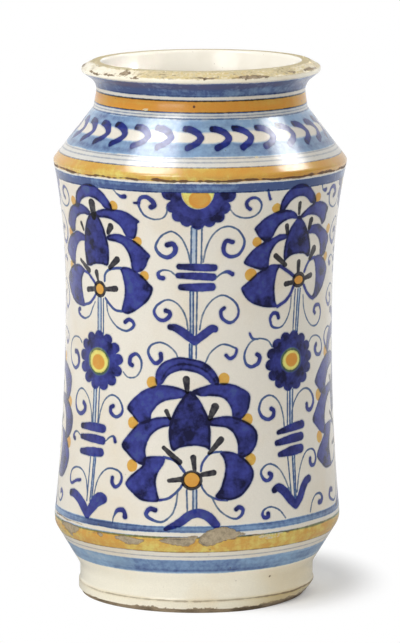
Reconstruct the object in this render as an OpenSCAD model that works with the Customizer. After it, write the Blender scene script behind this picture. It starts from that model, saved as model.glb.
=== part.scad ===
// Albarello: a waisted storage jar of tin-glazed earthenware.
// Millimetres, +Z up, origin at the centre of the foot's underside.
// The clay is one thrown pot. A white lining covers its inside, and the
// outer glaze is made of one ring for each painted zone, from foot to lip.

/* [Foot] */
// Radius of the foot ring, over the glaze
foot_r = 66.8; // [60:0.1:74]
// Height of the foot ring
foot_ring_h = 6; // [4:0.5:9]
// Radius of the foot above the ring
foot_neck_r = 66.1; // [58:0.1:73]
// Height at which the foot turns out into the flare
foot_h = 15.5; // [13:0.5:22]
// Height of the bare clay edge under the glaze
bare_edge_h = 2; // [1:0.5:3]
// Width of the bevel on the bare clay edge
bare_edge_w = 1.2; // [0.5:0.1:3]

/* [Body] */
// Height of the flare from the foot to the lower ridge
flare_h = 25; // [20:0.5:34]
// Radius at the corner of the lower ridge
lower_ridge_r = 81.2; // [78:0.1:90]
// Height of the wall between the two ridges
body_h = 205; // [175:1:240]
// Radius at the waist
waist_r = 75.3; // [70:0.1:79]
// Height of the waist over the lower ridge
waist_h = 119.5; // [85:0.5:145]
// Radius at the corner of the upper ridge
upper_ridge_r = 82.6; // [78:0.1:90]
// How late the wall swings out under the upper ridge
upper_swing = 2.4; // [1.5:0.1:3.5]
// How late the wall swings out above the lower ridge
lower_swing = 2; // [1.5:0.1:3.5]

/* [Shoulder, neck and lip] */
// Height of the shoulder from the upper ridge to the neck
shoulder_h = 29.1; // [22:0.1:38]
// Radius where the shoulder meets the neck
neck_root_r = 60; // [56:0.1:66]
// Radius at the narrowest part of the neck, before rounding
neck_r = 57.9; // [53:0.1:61]
// Height of the narrowest part over the shoulder
neck_waist_h = 13.6; // [12:0.1:15]
// Height of the neck from the shoulder to the lip
neck_h = 19.9; // [18.5:0.1:26]
// Radius of the lip
lip_r = 67; // [63:0.1:74]
// Height of the lip's upright edge
lip_edge_h = 2.3; // [1.6:0.1:5]
// Height of the bevel on top of the lip
bevel_h = 3.2; // [2:0.1:6]
// Width of the bevel on top of the lip
bevel_w = 6; // [3:0.1:7]
// Width of the flat top of the lip
rim_w = 5; // [3:0.1:6]

/* [Clay and glaze] */
// Thickness of the wall, clay and glaze together
wall_t = 6; // [4.5:0.1:8]
// Thickness of the floor, lining and clay together
base_t = 8; // [6:0.1:12]
// Thickness of the outer glaze
glaze_t = 0.5; // [0.3:0.05:0.9]
// Thickness of the lining
lining_t = 0.5; // [0.3:0.05:0.9]

/* [Painted zones] */
// Height of the blue band on the flare
flare_band_h = 8.4; // [5:0.1:12]
// Drop from the lower ridge to the blue band on the flare
flare_band_drop = 9.6; // [7:0.1:11]
// Rise of the yellow zone over the lower ridge
lower_zone_rise = 8.6; // [6:0.1:12]
// Height of the blue borders of the painted field
border_h = 4.5; // [3:0.1:8]
// Drop of the yellow zone below the upper ridge
upper_zone_drop = 3.5; // [2:0.1:6]
// Rise of the yellow zone over the upper ridge
upper_zone_rise = 4; // [2.5:0.1:7]
// Height of the white zone at the root of the neck
neck_white_h = 3.1; // [2:0.1:4.5]
// Height of the orange band on the neck
orange_band_h = 6.4; // [4:0.1:8]

/* [Rounding] */
// Rounding in the angle between foot and flare
foot_round = 8; // [4:0.5:10]
// Rounding of the lower ridge
lower_ridge_round = 10; // [5:0.5:14]
// Rounding of the upper ridge
upper_ridge_round = 2.5; // [1.5:0.1:6]
// Rounding where the shoulder meets the neck
neck_root_round = 4; // [2:0.1:6]
// Rounding in the hollow of the neck
neck_round = 8; // [5:0.1:10]
// Rounding of the lip's two outer edges
lip_round = 0.8; // [0.4:0.1:0.9]
// Rounding of the corners inside the jar
inner_round = 6; // [3:0.5:8]

/* [Hidden] */
$fn = 96;
// Segments in a rounded corner, and in each half of the wall
corner_steps = 6;
wall_steps = 8;
// Height of the small step between the foot ring and the foot
ring_step_h = 1.2;
// How far the open ends of the outlines run past the lip's flat top
over_run = 1;

// Heights of the main corners
lower_ridge_z = foot_h + flare_h;
waist_z = lower_ridge_z + waist_h;
upper_ridge_z = lower_ridge_z + body_h;
neck_root_z = upper_ridge_z + shoulder_h;
neck_waist_z = neck_root_z + neck_waist_h;
lip_z = neck_root_z + neck_h;
bevel_z = lip_z + lip_edge_h;
jar_h = bevel_z + bevel_h;
mouth_r = lip_r - bevel_w - rim_w;
reach = lower_ridge_r + upper_ridge_r + lip_r;

// Heights between the painted zones
flare_band_top = lower_ridge_z - flare_band_drop;
flare_band_low = flare_band_top - flare_band_h;
lower_border_low = lower_ridge_z + lower_zone_rise;
field_low = lower_border_low + border_h;
upper_border_top = upper_ridge_z - upper_zone_drop;
field_top = upper_border_top - border_h;
ridge_zone_top = upper_ridge_z + upper_zone_rise;
orange_low = neck_root_z + neck_white_h;
orange_top = orange_low + orange_band_h;

function unit(v) = v / norm(v);
function left_of(v) = [-v[1], v[0]];
function flat(corner) = [corner[0], corner[1]];

// An angle brought into the range from -180 to 180 degrees
function half_turn(a) = a > 180 ? a - 360 : a < -180 ? a + 360 : a;

// Points of the arc that rounds the corner b between its neighbours a and c
function corner_arc(a, b, c) =
  let (
    to_a = unit(flat(a) - flat(b)),
    to_c = unit(flat(c) - flat(b)),
    half = acos(to_a * to_c) / 2,
    centre = flat(b) + unit(to_a + to_c) * b[2] / sin(half),
    from = flat(b) + to_a * b[2] / tan(half) - centre,
    to = flat(b) + to_c * b[2] / tan(half) - centre,
    start = atan2(from[1], from[0]),
    sweep = half_turn(atan2(to[1], to[0]) - start)
  )
  [for (i = [0:corner_steps])
    centre + b[2] * [cos(start + sweep * i / corner_steps), sin(start + sweep * i / corner_steps)]];

// An outline through corners [radius, height, rounding]
function rounded(corners) =
  [for (i = [0:len(corners) - 1])
    each i == 0 || i == len(corners) - 1 || corners[i][2] == 0
      ? [flat(corners[i])]
      : corner_arc(corners[i - 1], corners[i], corners[i + 1])];

// A corner of a path moved to its left by d, square to both of its legs
function mitre(a, b, c, d) =
  let (n = left_of(unit(b - a)), m = left_of(unit(c - b)))
  b + d * (n + m) / (1 + n * m);

// A path moved to its left by d
function moved(path, d) =
  let (last = len(path) - 1)
  [for (i = [0:last])
    i == 0 ? path[0] + d * left_of(unit(path[1] - path[0]))
    : i == last ? path[last] + d * left_of(unit(path[last] - path[last - 1]))
    : mitre(path[i - 1], path[i], path[i + 1], d)];

// The wall between the ridges: it leaves the waist as a power of the height
function wall_r(z) =
  z < waist_z
    ? waist_r + (lower_ridge_r - waist_r) * pow((waist_z - z) / waist_h, lower_swing)
    : waist_r + (upper_ridge_r - waist_r) * pow((z - waist_z) / (body_h - waist_h), upper_swing);

wall_heights = [
  for (i = [1:wall_steps]) lower_ridge_z + waist_h * i / wall_steps,
  for (i = [1:wall_steps - 1]) waist_z + (body_h - waist_h) * i / wall_steps
];

// Corners that the outside and the inside share, from the foot to the neck
shared_corners = [
  [foot_neck_r, foot_ring_h + ring_step_h, 0],
  [foot_neck_r, foot_h, foot_round],
  [lower_ridge_r, lower_ridge_z, lower_ridge_round],
  for (z = wall_heights) [wall_r(z), z, 0],
  [upper_ridge_r, upper_ridge_z, upper_ridge_round],
  [neck_root_r, neck_root_z, neck_root_round],
  [neck_r, neck_waist_z, neck_round],
  [lip_r, lip_z, lip_round]
];

outer_path = rounded(concat(
  [[foot_r, bare_edge_h, 0], [foot_r, foot_ring_h, 0]],
  shared_corners,
  [
    [lip_r, bevel_z, lip_round],
    [lip_r - bevel_w * (1 + over_run / bevel_h), jar_h + over_run, 0]
  ]
));

// The same corners moved in by the wall, without the foot's and the lip's
wall_inside = moved([for (c = shared_corners) flat(c)], wall_t);
inner_corners = [
  for (i = [1:len(shared_corners) - 2])
    [wall_inside[i][0], wall_inside[i][1], shared_corners[i][2] > 0 ? inner_round : 0]
];

inner_path = rounded(concat(
  [[0, base_t, 0], [foot_neck_r - wall_t, base_t, inner_round]],
  inner_corners,
  [[mouth_r, bevel_z, inner_round / 2], [mouth_r, jar_h + over_run, 0]]
));

clay_outside = moved(outer_path, glaze_t);
clay_inside = moved(inner_path, -lining_t);

function reversed(path) = [for (i = [len(path) - 1:-1:0]) path[i]];

// The part of an outline between two heights, turned about the jar's axis
module turned(outline, z_low, z_high) {
  rotate_extrude()
    intersection() {
      polygon(outline);
      translate([0, z_low]) square([reach, z_high - z_low]);
    }
}

// The outer glaze between two heights
module glaze_ring(z_low, z_high) {
  turned(concat(outer_path, reversed(clay_outside)), z_low, z_high);
}

// The thrown pot: wall, floor, bare foot edge and the worn flat of the lip
module clay_body() {
  underside = [[0, 0], [foot_r - glaze_t - bare_edge_w, 0]];
  color("tan") turned(concat(underside, clay_outside, reversed(clay_inside)), 0, jar_h);
}

// White glaze over the whole inside, from the floor to the mouth
module inner_glaze() {
  color("ivory") turned(concat(inner_path, reversed(clay_inside)), 0, jar_h);
}

// Cream glaze on the foot
module foot_glaze() {
  color("linen") glaze_ring(bare_edge_h, flare_band_low);
}

// Blue band round the flare
module flare_blue_band() {
  color("slateblue") glaze_ring(flare_band_low, flare_band_top);
}

// White lines and the yellow band over the lower ridge
module lower_ridge_band() {
  color("goldenrod") glaze_ring(flare_band_top, lower_border_low);
}

// Blue border under the painted field
module lower_border() {
  color("steelblue") glaze_ring(lower_border_low, field_low);
}

// White field that carries the palmettes
module body_glaze() {
  color("whitesmoke") glaze_ring(field_low, field_top);
}

// Blue border over the painted field
module upper_border() {
  color("steelblue") glaze_ring(field_top, upper_border_top);
}

// Yellow band over the upper ridge
module upper_ridge_band() {
  color("goldenrod") glaze_ring(upper_border_top, ridge_zone_top);
}

// Washed blue shoulder and the white lines at the root of the neck
module shoulder_glaze() {
  color("cornflowerblue") glaze_ring(ridge_zone_top, orange_low);
}

// Orange band in the hollow of the neck
module neck_orange_band() {
  color("peru") glaze_ring(orange_low, orange_top);
}

// Blue band under the lip
module neck_blue_band() {
  color("royalblue") glaze_ring(orange_top, lip_z);
}

// Cream glaze on the edge and bevel of the lip
module lip_glaze() {
  color("antiquewhite") glaze_ring(lip_z, jar_h);
}

clay_body();
inner_glaze();
foot_glaze();
flare_blue_band();
lower_ridge_band();
lower_border();
body_glaze();
upper_border();
upper_ridge_band();
shoulder_glaze();
neck_orange_band();
neck_blue_band();
lip_glaze();
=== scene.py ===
"""Looks of the albarello: thrown clay, white lining and painted tin glaze.

Every piece is an outline turned about the jar's axis, worked out with numpy around the
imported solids. The painting is laid as brush strokes in arc length and height on the
wall. Each glaze piece keeps, at the points of its own grid, how far inside the strokes
of each pigment a point lies, and the glaze material turns that into colour.
"""

import math

import bpy
import numpy as np
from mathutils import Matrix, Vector


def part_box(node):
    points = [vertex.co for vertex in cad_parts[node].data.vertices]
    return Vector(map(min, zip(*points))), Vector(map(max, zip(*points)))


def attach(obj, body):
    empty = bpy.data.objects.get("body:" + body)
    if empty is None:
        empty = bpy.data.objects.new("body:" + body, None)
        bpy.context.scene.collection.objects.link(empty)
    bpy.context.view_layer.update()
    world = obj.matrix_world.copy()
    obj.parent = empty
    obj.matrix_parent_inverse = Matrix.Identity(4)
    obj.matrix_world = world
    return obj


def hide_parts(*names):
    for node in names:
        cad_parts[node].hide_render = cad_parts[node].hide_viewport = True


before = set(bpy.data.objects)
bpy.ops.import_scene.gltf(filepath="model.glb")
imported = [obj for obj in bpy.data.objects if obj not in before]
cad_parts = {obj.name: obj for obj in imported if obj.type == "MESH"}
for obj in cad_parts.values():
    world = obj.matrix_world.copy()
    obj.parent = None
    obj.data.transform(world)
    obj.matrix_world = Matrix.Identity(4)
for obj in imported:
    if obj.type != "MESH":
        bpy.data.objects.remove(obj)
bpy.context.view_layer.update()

bl_info = {
    "name": "Albarello",
    "version": (1, 0, 0),
    "blender": (4, 5, 0),
    "location": "View3D > Sidebar > Albarello",
    "description": "Dresses the packed albarello in clay, lining and painted glaze",
    "category": "Object",
}

MM = 0.001
# Height of the jar, in mm
TALL = 300.0
# Radius at which arc lengths of the painting are measured, and the arc once round the jar, in mm
PAINT_R = 76.0
ROUND_JAR = 2 * np.pi * PAINT_R
# Half of that in whole mm, which is where wear on the left meets wear on the right, behind the jar
HALF_ROUND = 239.0
# Where the first column of the grid stands, between two painted motifs, in mm of arc
FIRST_COLUMN = -33.0
# Next to nothing, added where a number is divided by or rounded down
TINY = 1e-9
# Pieces that the painted field is divided into
PANELS = 8
# Depth, in mm, given to places that no stroke comes near
UNPAINTED = -4.0
# Index of every place of a grid
EVERYWHERE = np.s_[:, :]
# Pigments and kinds of wear, each with a depth in mm and a load, which is how heavily it lies; the
# grime and the stain also carry painted shade
LAYERS = ("stain", "wash", "gold", "cobalt", "dark", "wear", "grime")
OUTER_NODES = (
    "foot_glaze", "flare_blue_band", "lower_ridge_band", "lower_border", "body_glaze", "upper_border",
    "upper_ridge_band", "shoulder_glaze", "neck_orange_band", "neck_blue_band", "lip_glaze",
)


def srgb(*levels):
    """Linear colour of three sRGB levels from 0 to 255, by the usual power curve."""
    return tuple(((level / 255 + 0.055) / 1.055) ** 2.4 for level in levels)


def colour(name, description, *levels):
    """A colour property with its default given as sRGB levels."""
    return bpy.props.FloatVectorProperty(
        name=name, description=description, subtype="COLOR", size=3, min=0, max=1, default=srgb(*levels))


def length(name, description, millimetres):
    """A length property with its default given in millimetres."""
    return bpy.props.FloatProperty(
        name=name, description=description, unit="LENGTH", precision=5, default=millimetres * MM)


class AlbarelloSizes(bpy.types.PropertyGroup):
    """Sizes of the dressed jar that aren't in the solids."""

    columns: bpy.props.IntProperty(
        name="Columns", description="Grid columns round the jar, a multiple of eight",
        default=1040, min=64)
    step: length("Grid step", "Height of a grid cell on the painted wall", 0.43)
    glaze: length("Glaze thickness", "Thickness of the outer glaze and of the lining", 0.5)
    lean: length("Lean", "How far the lip stands to the right of the foot", 2.7)
    foot_rise: length("Foot rise", "How much taller the foot ring is than in the solids", 1.3)
    oval: length("Oval", "How much the jar is pressed out of round", 0.25)
    chip_depth: length("Chip depth", "How deep the glaze is lost at a chip", 0.35)
    throwing_depth: length("Throwing rings", "Depth of the potter's finger rings inside", 0.3)


class AlbarelloColours(bpy.types.PropertyGroup):
    """Colours of the clay, the glaze and the pigments as they show on the glaze."""

    ground: colour("Ground", "Tin glaze", 226, 220, 207)
    warm_ground: colour("Warm ground", "Tin glaze where it is thin", 223, 212, 192)
    # Cream is the foot's and the lip's warmer glaze, set lighter than the ground so that the foot, shaded
    # under the flare, still renders light: partly painted light
    cream: colour("Cream", "Tin glaze of the foot and the lip", 246, 240, 221)
    thin_cobalt: colour("Thin cobalt", "Blue drawn with a fine brush", 76, 101, 134)
    cobalt: colour("Cobalt", "Blue of the leaves", 58, 64, 142)
    deep_cobalt: colour("Deep cobalt", "Blue where it has pooled", 25, 26, 62)
    pale_wash: colour("Pale wash", "Thin blue of the shoulder", 138, 170, 203)
    strong_wash: colour("Strong wash", "Blue of the bands", 74, 92, 138)
    lemon: colour("Lemon", "Thin yellow of the rosettes", 240, 220, 122)
    yellow: colour("Yellow", "Yellow of the ridges", 210, 166, 78)
    orange: colour("Orange", "Orange of the neck", 212, 148, 62)
    dark: colour("Manganese", "Dark brown of the stamens", 34, 34, 46)
    clay: colour("Clay", "Bare clay", 163, 144, 118)
    worn_clay: colour("Worn clay", "Bare clay rubbed pale", 207, 193, 153)
    stained_clay: colour("Stained clay", "Bare clay with dirt in it", 104, 88, 66)
    # The stain is yellowing, and on the right of the foot ring also painted shade
    stain: colour("Stain", "Tin glaze yellowed at the foot and the lip", 214, 196, 146)
    # The lining is set whiter than the outer ground so that the inside, which little light reaches, renders
    # bright: partly painted light
    lining: colour("Lining", "White glaze inside", 250, 245, 232)
    floor: colour("Floor", "Floor under the jar", 253, 253, 253)


# Shape of the jar


def vertices(node):
    """Vertices of a CAD node in mm and their normals."""
    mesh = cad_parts[node].data
    spots = np.empty(3 * len(mesh.vertices), np.float32)
    normals = np.empty_like(spots)
    mesh.vertices.foreach_get("co", spots)
    mesh.vertices.foreach_get("normal", normals)
    return spots.reshape(-1, 3) / MM, normals.reshape(-1, 3)


def zone(node):
    """Lowest and highest height of a CAD node in mm."""
    low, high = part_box(node)
    return low.z / MM, high.z / MM


def outline(nodes, facing, left_out=()):
    """Heights at which the solids' walls have vertices, and the mean radius at each. Facing is 1 for walls
    that look away from the axis and -1 for walls that look towards it."""
    spots, normals = (np.concatenate(parts) for parts in zip(*map(vertices, nodes)))
    radius = np.hypot(spots[:, 0], spots[:, 1])
    on_wall = facing * (spots[:, :2] * normals[:, :2]).sum(1) > 0.1 * radius
    heights, level = np.unique(np.round(spots[on_wall, 2], 2), return_inverse=True)
    mean = np.bincount(level, radius[on_wall]) / np.bincount(level)
    kept = ~np.isin(heights, np.round(left_out, 2))
    return heights[kept], mean[kept]


def smooth_curve(z, r, heights):
    """Radius at each height: cubics through the points, whose slope at a point is the harmonic mean of
    the slopes before and after it, or level where these differ in sign."""
    slope = np.diff(r) / np.diff(z)
    before, after = slope[:-1], slope[1:]
    same_way = before * after > 0
    tangent = np.concatenate(([slope[0]], np.zeros(len(before)), [slope[-1]]))
    tangent[1:-1][same_way] = (2 * before * after)[same_way] / (before + after)[same_way]
    i = np.clip(np.searchsorted(z, heights) - 1, 0, len(z) - 2)
    span = z[i + 1] - z[i]
    t = (heights - z[i]) / span
    return (
        r[i] * (1 + 2 * t) * (1 - t) ** 2 + r[i + 1] * t ** 2 * (3 - 2 * t)
        + span * (tangent[i] * t * (1 - t) ** 2 - tangent[i + 1] * t ** 2 * (1 - t)))


def softened(values, width):
    """Values averaged over their neighbours with a bell curve that many places wide, carried on past both
    ends."""
    reach = 3 * width
    bell = np.exp(-0.5 * (np.arange(-reach, reach + 1) / width) ** 2)
    return np.convolve(np.pad(values, reach, "reflect", reflect_type="odd"), bell / bell.sum(), "valid")


def inside_wall(facing, count):
    """Evenly spaced heights and the radius at each for one face of the lining, rubbed round by a bell curve
    5 mm wide above the neck."""
    rubbed_wide, neck, rubbed_fully = 5, 268, 280
    z, r = outline(["inner_glaze"], facing)
    heights = np.linspace(z[0], z[-1], count)
    radius = smooth_curve(z, r, heights)
    rounder = softened(radius, round(rubbed_wide * (count - 1) / (z[-1] - z[0])))
    return heights, radius + eased((heights - neck) / (rubbed_fully - neck)) * (rounder - radius)


class Wall:
    """Outline of the jar over the glaze and under it, as tables of radius against height, that fine in mm
    and with edges that soft."""

    FINE = 0.05
    EDGE = 0.35

    def __init__(self, glaze):
        inside_cuts = [zone(node)[0] for node in OUTER_NODES[1:]]
        z, r = outline(OUTER_NODES, 1, inside_cuts)
        self.z = np.arange(z[0], z[-1] + self.FINE / 2, self.FINE)
        self.r = softened(smooth_curve(z, r, self.z), round(self.EDGE / self.FINE))
        self.s = np.concatenate(([0], np.cumsum(np.hypot(np.diff(self.z), np.diff(self.r)))))
        along_r, along_z = np.gradient(self.r, self.s), np.gradient(self.z, self.s)
        under_z = np.maximum.accumulate(self.z + glaze * along_r)
        self.under = np.interp(self.z, under_z, self.r - glaze * along_z)

    def rows(self, low, high, step):
        """Heights between two levels, evenly spaced along the outline."""
        ends = np.interp((low, high), self.z, self.s)
        count = max(2, math.ceil((ends[1] - ends[0]) / step))
        return np.interp(np.linspace(*ends, count + 1), self.s, self.z)

    def outer(self, z):
        """Radius over the glaze."""
        return np.interp(z, self.z, self.r)

    def inner(self, z):
        """Radius under the glaze."""
        return np.interp(z, self.z, self.under)


def eased(t):
    """0 to 1 with level ends, as three times the square less twice the cube."""
    t = np.clip(t, 0, 1)
    return t * t * (3 - 2 * t)


# Foot's edge: the share of the radius that is worn away on the right, and how high that reaches, in mm
EDGE_WORN, EDGE_WORN_TALL = 0.06, 6.5
# Height of the foot ring and of the slope over it, in mm
RING_TALL, SLOPE_TALL = 6.0, 16.0
# Sideways tip of each level, as rise over run: at the lower ridge, and how much less at the neck
RIDGE_TIP, TIP_LOST = 0.0115, 0.0165
LOWER_RIDGE, NECK = 45.0, 280.0
# The lip's rise over run to the right, where it starts and ends in height, and the lip's left edge, in mm
LIP_RISE, LIP_LOW, LIP_HIGH, LIP_LEFT = 0.008, 286.0, 298.0, -67.0


def placed(turn, radius, height):
    """Points in metres on circles about the axis, with the hand's faults: a foot ring a little taller than
    in the solids, at the cost of what stands on it; the foot's edge worn away on the right; pressed oval;
    leaning to the right in step with the height; each level tipped sideways, up to the right below and down
    to the right above; and the lip raised towards the right."""
    sizes = bpy.context.scene.albarello_sizes
    rise = sizes.foot_rise / MM
    on_right = eased((np.sin(turn) - 0.35) / 0.55)
    worn = EDGE_WORN * eased(1 - height / EDGE_WORN_TALL) * on_right
    slimmed = radius * (1 - rise / TALL) * (1 - worn)
    oval = np.minimum(radius / PAINT_R, 1) * sizes.oval / MM
    pressed = slimmed + oval * np.sin(2 * turn + height / 90)
    x = pressed * np.sin(turn)
    y = -pressed * np.cos(turn)
    upward = np.clip((height - LOWER_RIDGE) / (NECK - LOWER_RIDGE), 0, 1)
    tip = eased(height / SLOPE_TALL) * (RIDGE_TIP - TIP_LOST * upward)
    lip_lift = LIP_RISE * eased((height - LIP_LOW) / (LIP_HIGH - LIP_LOW)) * (x - LIP_LEFT)
    z = height + rise * eased(height / RING_TALL) * (1 - height / TALL) + x * tip + lip_lift
    return np.stack((x + sizes.lean / MM * height / TALL, y, z), -1) * MM


def mesh_from(name, points, faces, sizes):
    """A smooth mesh from points and from faces, given as one run of corner numbers and each face's size."""
    mesh = bpy.data.meshes.new(name)
    mesh.vertices.add(len(points))
    mesh.vertices.foreach_set("co", points.astype(np.float32).ravel())
    mesh.loops.add(len(faces))
    mesh.loops.foreach_set("vertex_index", faces.astype(np.int32))
    mesh.polygons.add(len(sizes))
    starts = np.concatenate(([0], np.cumsum(sizes)[:-1]))
    mesh.polygons.foreach_set("loop_start", starts.astype(np.int32))
    mesh.update(calc_edges=True)
    mesh.polygons.foreach_set("use_smooth", np.ones(len(sizes), bool))
    return mesh


def finished(mesh, node, material):
    """Puts a mesh into the scene with its material, under the root, in place of a CAD node, which it hides.
    """
    if mesh.validate(verbose=False):
        raise RuntimeError(f"{mesh.name} had faulty faces")
    piece = bpy.data.objects.new(mesh.name, mesh)
    bpy.context.collection.objects.link(piece)
    mesh.materials.append(material)
    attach(piece, "root")
    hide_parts(node)


def write_map(mesh, u, v):
    """A map to bake on, named OFBake, one place for each face corner."""
    layer = mesh.uv_layers.new(name="OFBake")
    layer.uv.foreach_set("vector", np.stack((u, v), -1).astype(np.float32).ravel())


def write_layers(mesh, canvas, hidden):
    """Paint of a canvas as point attributes, with the hidden inner points left unpainted."""
    for name, values in canvas.layers.items():
        empty = 0.0 if name.endswith("_load") else UNPAINTED
        full = np.concatenate((values, np.full((values.shape[0], hidden), empty)), 1)
        layer = mesh.attributes.new(name, "FLOAT", "POINT")
        layer.data.foreach_set("value", full.astype(np.float32).ravel())


def sharpen_corners(mesh, rows, loop, ends):
    """Marks the edges between the outer face and the cut faces as sharp, so that each face shades alone."""
    corners = np.empty(2 * len(mesh.edges), np.int32)
    mesh.edges.foreach_get("vertices", corners)
    column, row = np.divmod(corners.reshape(-1, 2), loop)
    along_turn = (row[:, 0] == row[:, 1]) & np.isin(row[:, 0], (0, rows - 1, rows, loop - 1))
    along_cap = (column[:, 0] == column[:, 1]) & np.isin(column[:, 0], ends)
    sharp = along_turn | along_cap
    mesh.attributes.new("sharp_edge", "BOOLEAN", "EDGE").data.foreach_set("value", sharp)


# The hidden wall under the glaze has one height for so many of the outer wall
BACK_STEP = 8
# Distance from the edge of a chip to its full depth, in mm
CHIP_SLOPE = 0.7


def glaze_shell(name, turn, heights, wall, canvas, whole_turn):
    """A closed shell of glaze: the outer wall on a grid of turn and height, sunk where it is chipped, and
    the wall under the glaze on fewer heights. Rows run up outside and down inside. A part turn is capped."""
    sizes = bpy.context.scene.albarello_sizes
    rows, columns = len(heights), len(turn)
    back = heights[::-BACK_STEP]
    if back[-1] > heights[0]:
        back = np.append(back, heights[0])
    loop = rows + len(back)
    chip = eased(canvas.layers["wear"] / CHIP_SLOPE) * sizes.chip_depth / MM
    radius = np.concatenate((wall.outer(heights) - chip, np.tile(wall.inner(back), (columns, 1))), 1)
    height = np.tile(np.concatenate((heights, back)), (columns, 1))
    points = placed(turn[:, None], radius, height).reshape(-1, 3)
    strips = columns if whole_turn else columns - 1
    column = np.arange(strips)[:, None] * loop
    right = (np.arange(1, strips + 1) % columns)[:, None] * loop
    row = np.arange(loop)
    above = (row + 1) % loop
    quads = np.stack((column + row, right + row, right + above, column + above), -1)
    faces, face_sizes = [quads.ravel()], [np.full(strips * loop, 4)]
    places = [quad_map(strips, rows, len(back), 4 if whole_turn else 1)]
    if not whole_turn:
        faces += [row, (columns - 1) * loop + row[::-1]]
        face_sizes += [[loop], [loop]]
        places.append(cap_map(rows, len(back)))
    mesh = mesh_from(name, points, np.concatenate(faces), np.concatenate(face_sizes))
    write_map(mesh, *np.concatenate(places, 1))
    write_layers(mesh, canvas, len(back))
    sharpen_corners(mesh, rows, loop, () if whole_turn else (0, columns - 1))
    return mesh


# Bake map, in shares of a line: width of the strips, foot and height of the outer wall in them, and the
# spacing and height of all the hidden faces
STRIPS_WIDE, OUTER_LOW, OUTER_TALL, HIDDEN_SPACE, HIDDEN_TALL = 0.96, 0.06, 0.93, 0.05, 0.045
# Places of the two caps across the map, and their width
CAP_PLACES, CAP_WIDE = (0.97, 0.985), 0.01


def quad_map(strips, rows, back, lines):
    """Bake map of the quads: strips from left to right in a few lines, each with the outer wall over most
    of its height and the hidden faces in what is left below."""
    position = np.arange(strips) * lines / strips
    line = np.floor(position + TINY)
    outer, hidden = rows - 1, back + 1
    outer_low = OUTER_LOW + OUTER_TALL * np.arange(outer) / outer
    hidden_low = HIDDEN_SPACE * np.arange(hidden) / hidden
    low = np.concatenate((outer_low, hidden_low))
    tall = np.concatenate((np.full(outer, OUTER_TALL / outer), np.full(hidden, HIDDEN_TALL / hidden)))
    left = np.broadcast_to(((position - line) * STRIPS_WIDE)[:, None], (strips, rows + back))
    right = left + STRIPS_WIDE * lines / strips
    bottom = (line[:, None] + low) / lines
    top = (line[:, None] + low + tall) / lines
    u = np.stack((left, right, right, left), -1)
    v = np.stack((bottom, bottom, top, top), -1)
    return u.ravel(), v.ravel()


def cap_map(rows, back):
    """Bake map of the two caps: each an upright strip, the outer wall on its left and the hidden one on its
    right, and the second turned over."""
    across = np.where(np.arange(rows + back) < rows, 0.0, CAP_WIDE)
    upward = np.concatenate((np.linspace(0, 1, rows), np.linspace(1, 0, back)))
    u = np.concatenate((CAP_PLACES[0] + across, CAP_PLACES[1] + across[::-1]))
    return u, np.concatenate((upward, upward[::-1]))


def turned_shell(name, path, columns, ripple):
    """A closed shell whose outline starts and ends on the axis: each point of the path goes round the
    axis, raised by the ripple there, and the two ends are single points with a fan of triangles."""
    turn = np.arange(columns) * 2 * np.pi / columns
    ring = path[1:-1]
    shift = ripple(turn[:, None], ring[:, 0], ring[:, 1])
    grid = placed(turn[:, None], ring[:, 0] + shift[..., 0], ring[:, 1] + shift[..., 1])
    poles = placed(np.zeros(2), path[[0, -1], 0], path[[0, -1], 1])
    points = np.concatenate((grid.reshape(-1, 3), poles))
    rows = len(ring)
    column = np.arange(columns)[:, None] * rows
    right = np.roll(column, -1, 0)
    row = np.arange(rows - 1)
    quads = np.stack((column + row, right + row, right + row + 1, column + row + 1), -1)
    first, last = len(points) - 2, len(points) - 1
    low_fan = np.stack((right[:, 0], column[:, 0], np.full(columns, first)), -1)
    high_fan = np.stack((column[:, 0] + rows - 1, right[:, 0] + rows - 1, np.full(columns, last)), -1)
    faces = np.concatenate((quads.ravel(), low_fan.ravel(), high_fan.ravel()))
    face_sizes = np.concatenate((np.full(columns * (rows - 1), 4), np.full(2 * columns, 3)))
    return mesh_from(name, points, faces, face_sizes)


# Brush strokes


def spline(points, closed=False, per_span=5):
    """Smooth curve through points: through each span goes the cubic whose end slopes are half the chord
    between the neighbours on either side."""
    p = np.asarray(points, float)
    if closed:
        p = np.concatenate((p[-1:], p, p[:2]))
    else:
        p = np.concatenate((2 * p[:1] - p[1:2], p, 2 * p[-1:] - p[-2:-1]))
    a, b, c, d = p[:-3, None], p[1:-2, None], p[2:-1, None], p[3:, None]
    t = (np.arange(per_span) / per_span)[None, :, None]
    curve = b + t * ((c - a) + t * ((2 * a - 5 * b + 4 * c - d) + t * (3 * b - a - 3 * c + d))) / 2
    curve = curve.reshape(-1, p.shape[1])
    return curve if closed else np.concatenate((curve, p[-2:-1]))


def along_runs(start, run, a, z):
    """For each place and each straight run: the share of the run at which it comes nearest to the place,
    and the distance there."""
    da, dz = a[..., None] - start[:, 0], z[..., None] - start[:, 1]
    t = np.clip((da * run[:, 0] + dz * run[:, 1]) / (run[:, 0] ** 2 + run[:, 1] ** 2 + TINY), 0, 1)
    return t, np.hypot(da - t * run[:, 0], dz - t * run[:, 1])


def path_cover(points, a, z):
    """Depth inside a brush path and the load there: over its short straight runs, the largest of half
    width less distance. The points hold arc, height, half width and load."""
    start, run = points[:-1], np.diff(points, axis=0)
    t, gap = along_runs(start, run, a, z)
    depth = start[:, 2] + t * run[:, 2] - gap
    best = depth.argmax(-1)[..., None]
    load = start[:, 3] + t * run[:, 3]
    return np.take_along_axis(depth, best, -1)[..., 0], np.take_along_axis(load, best, -1)[..., 0]


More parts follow.
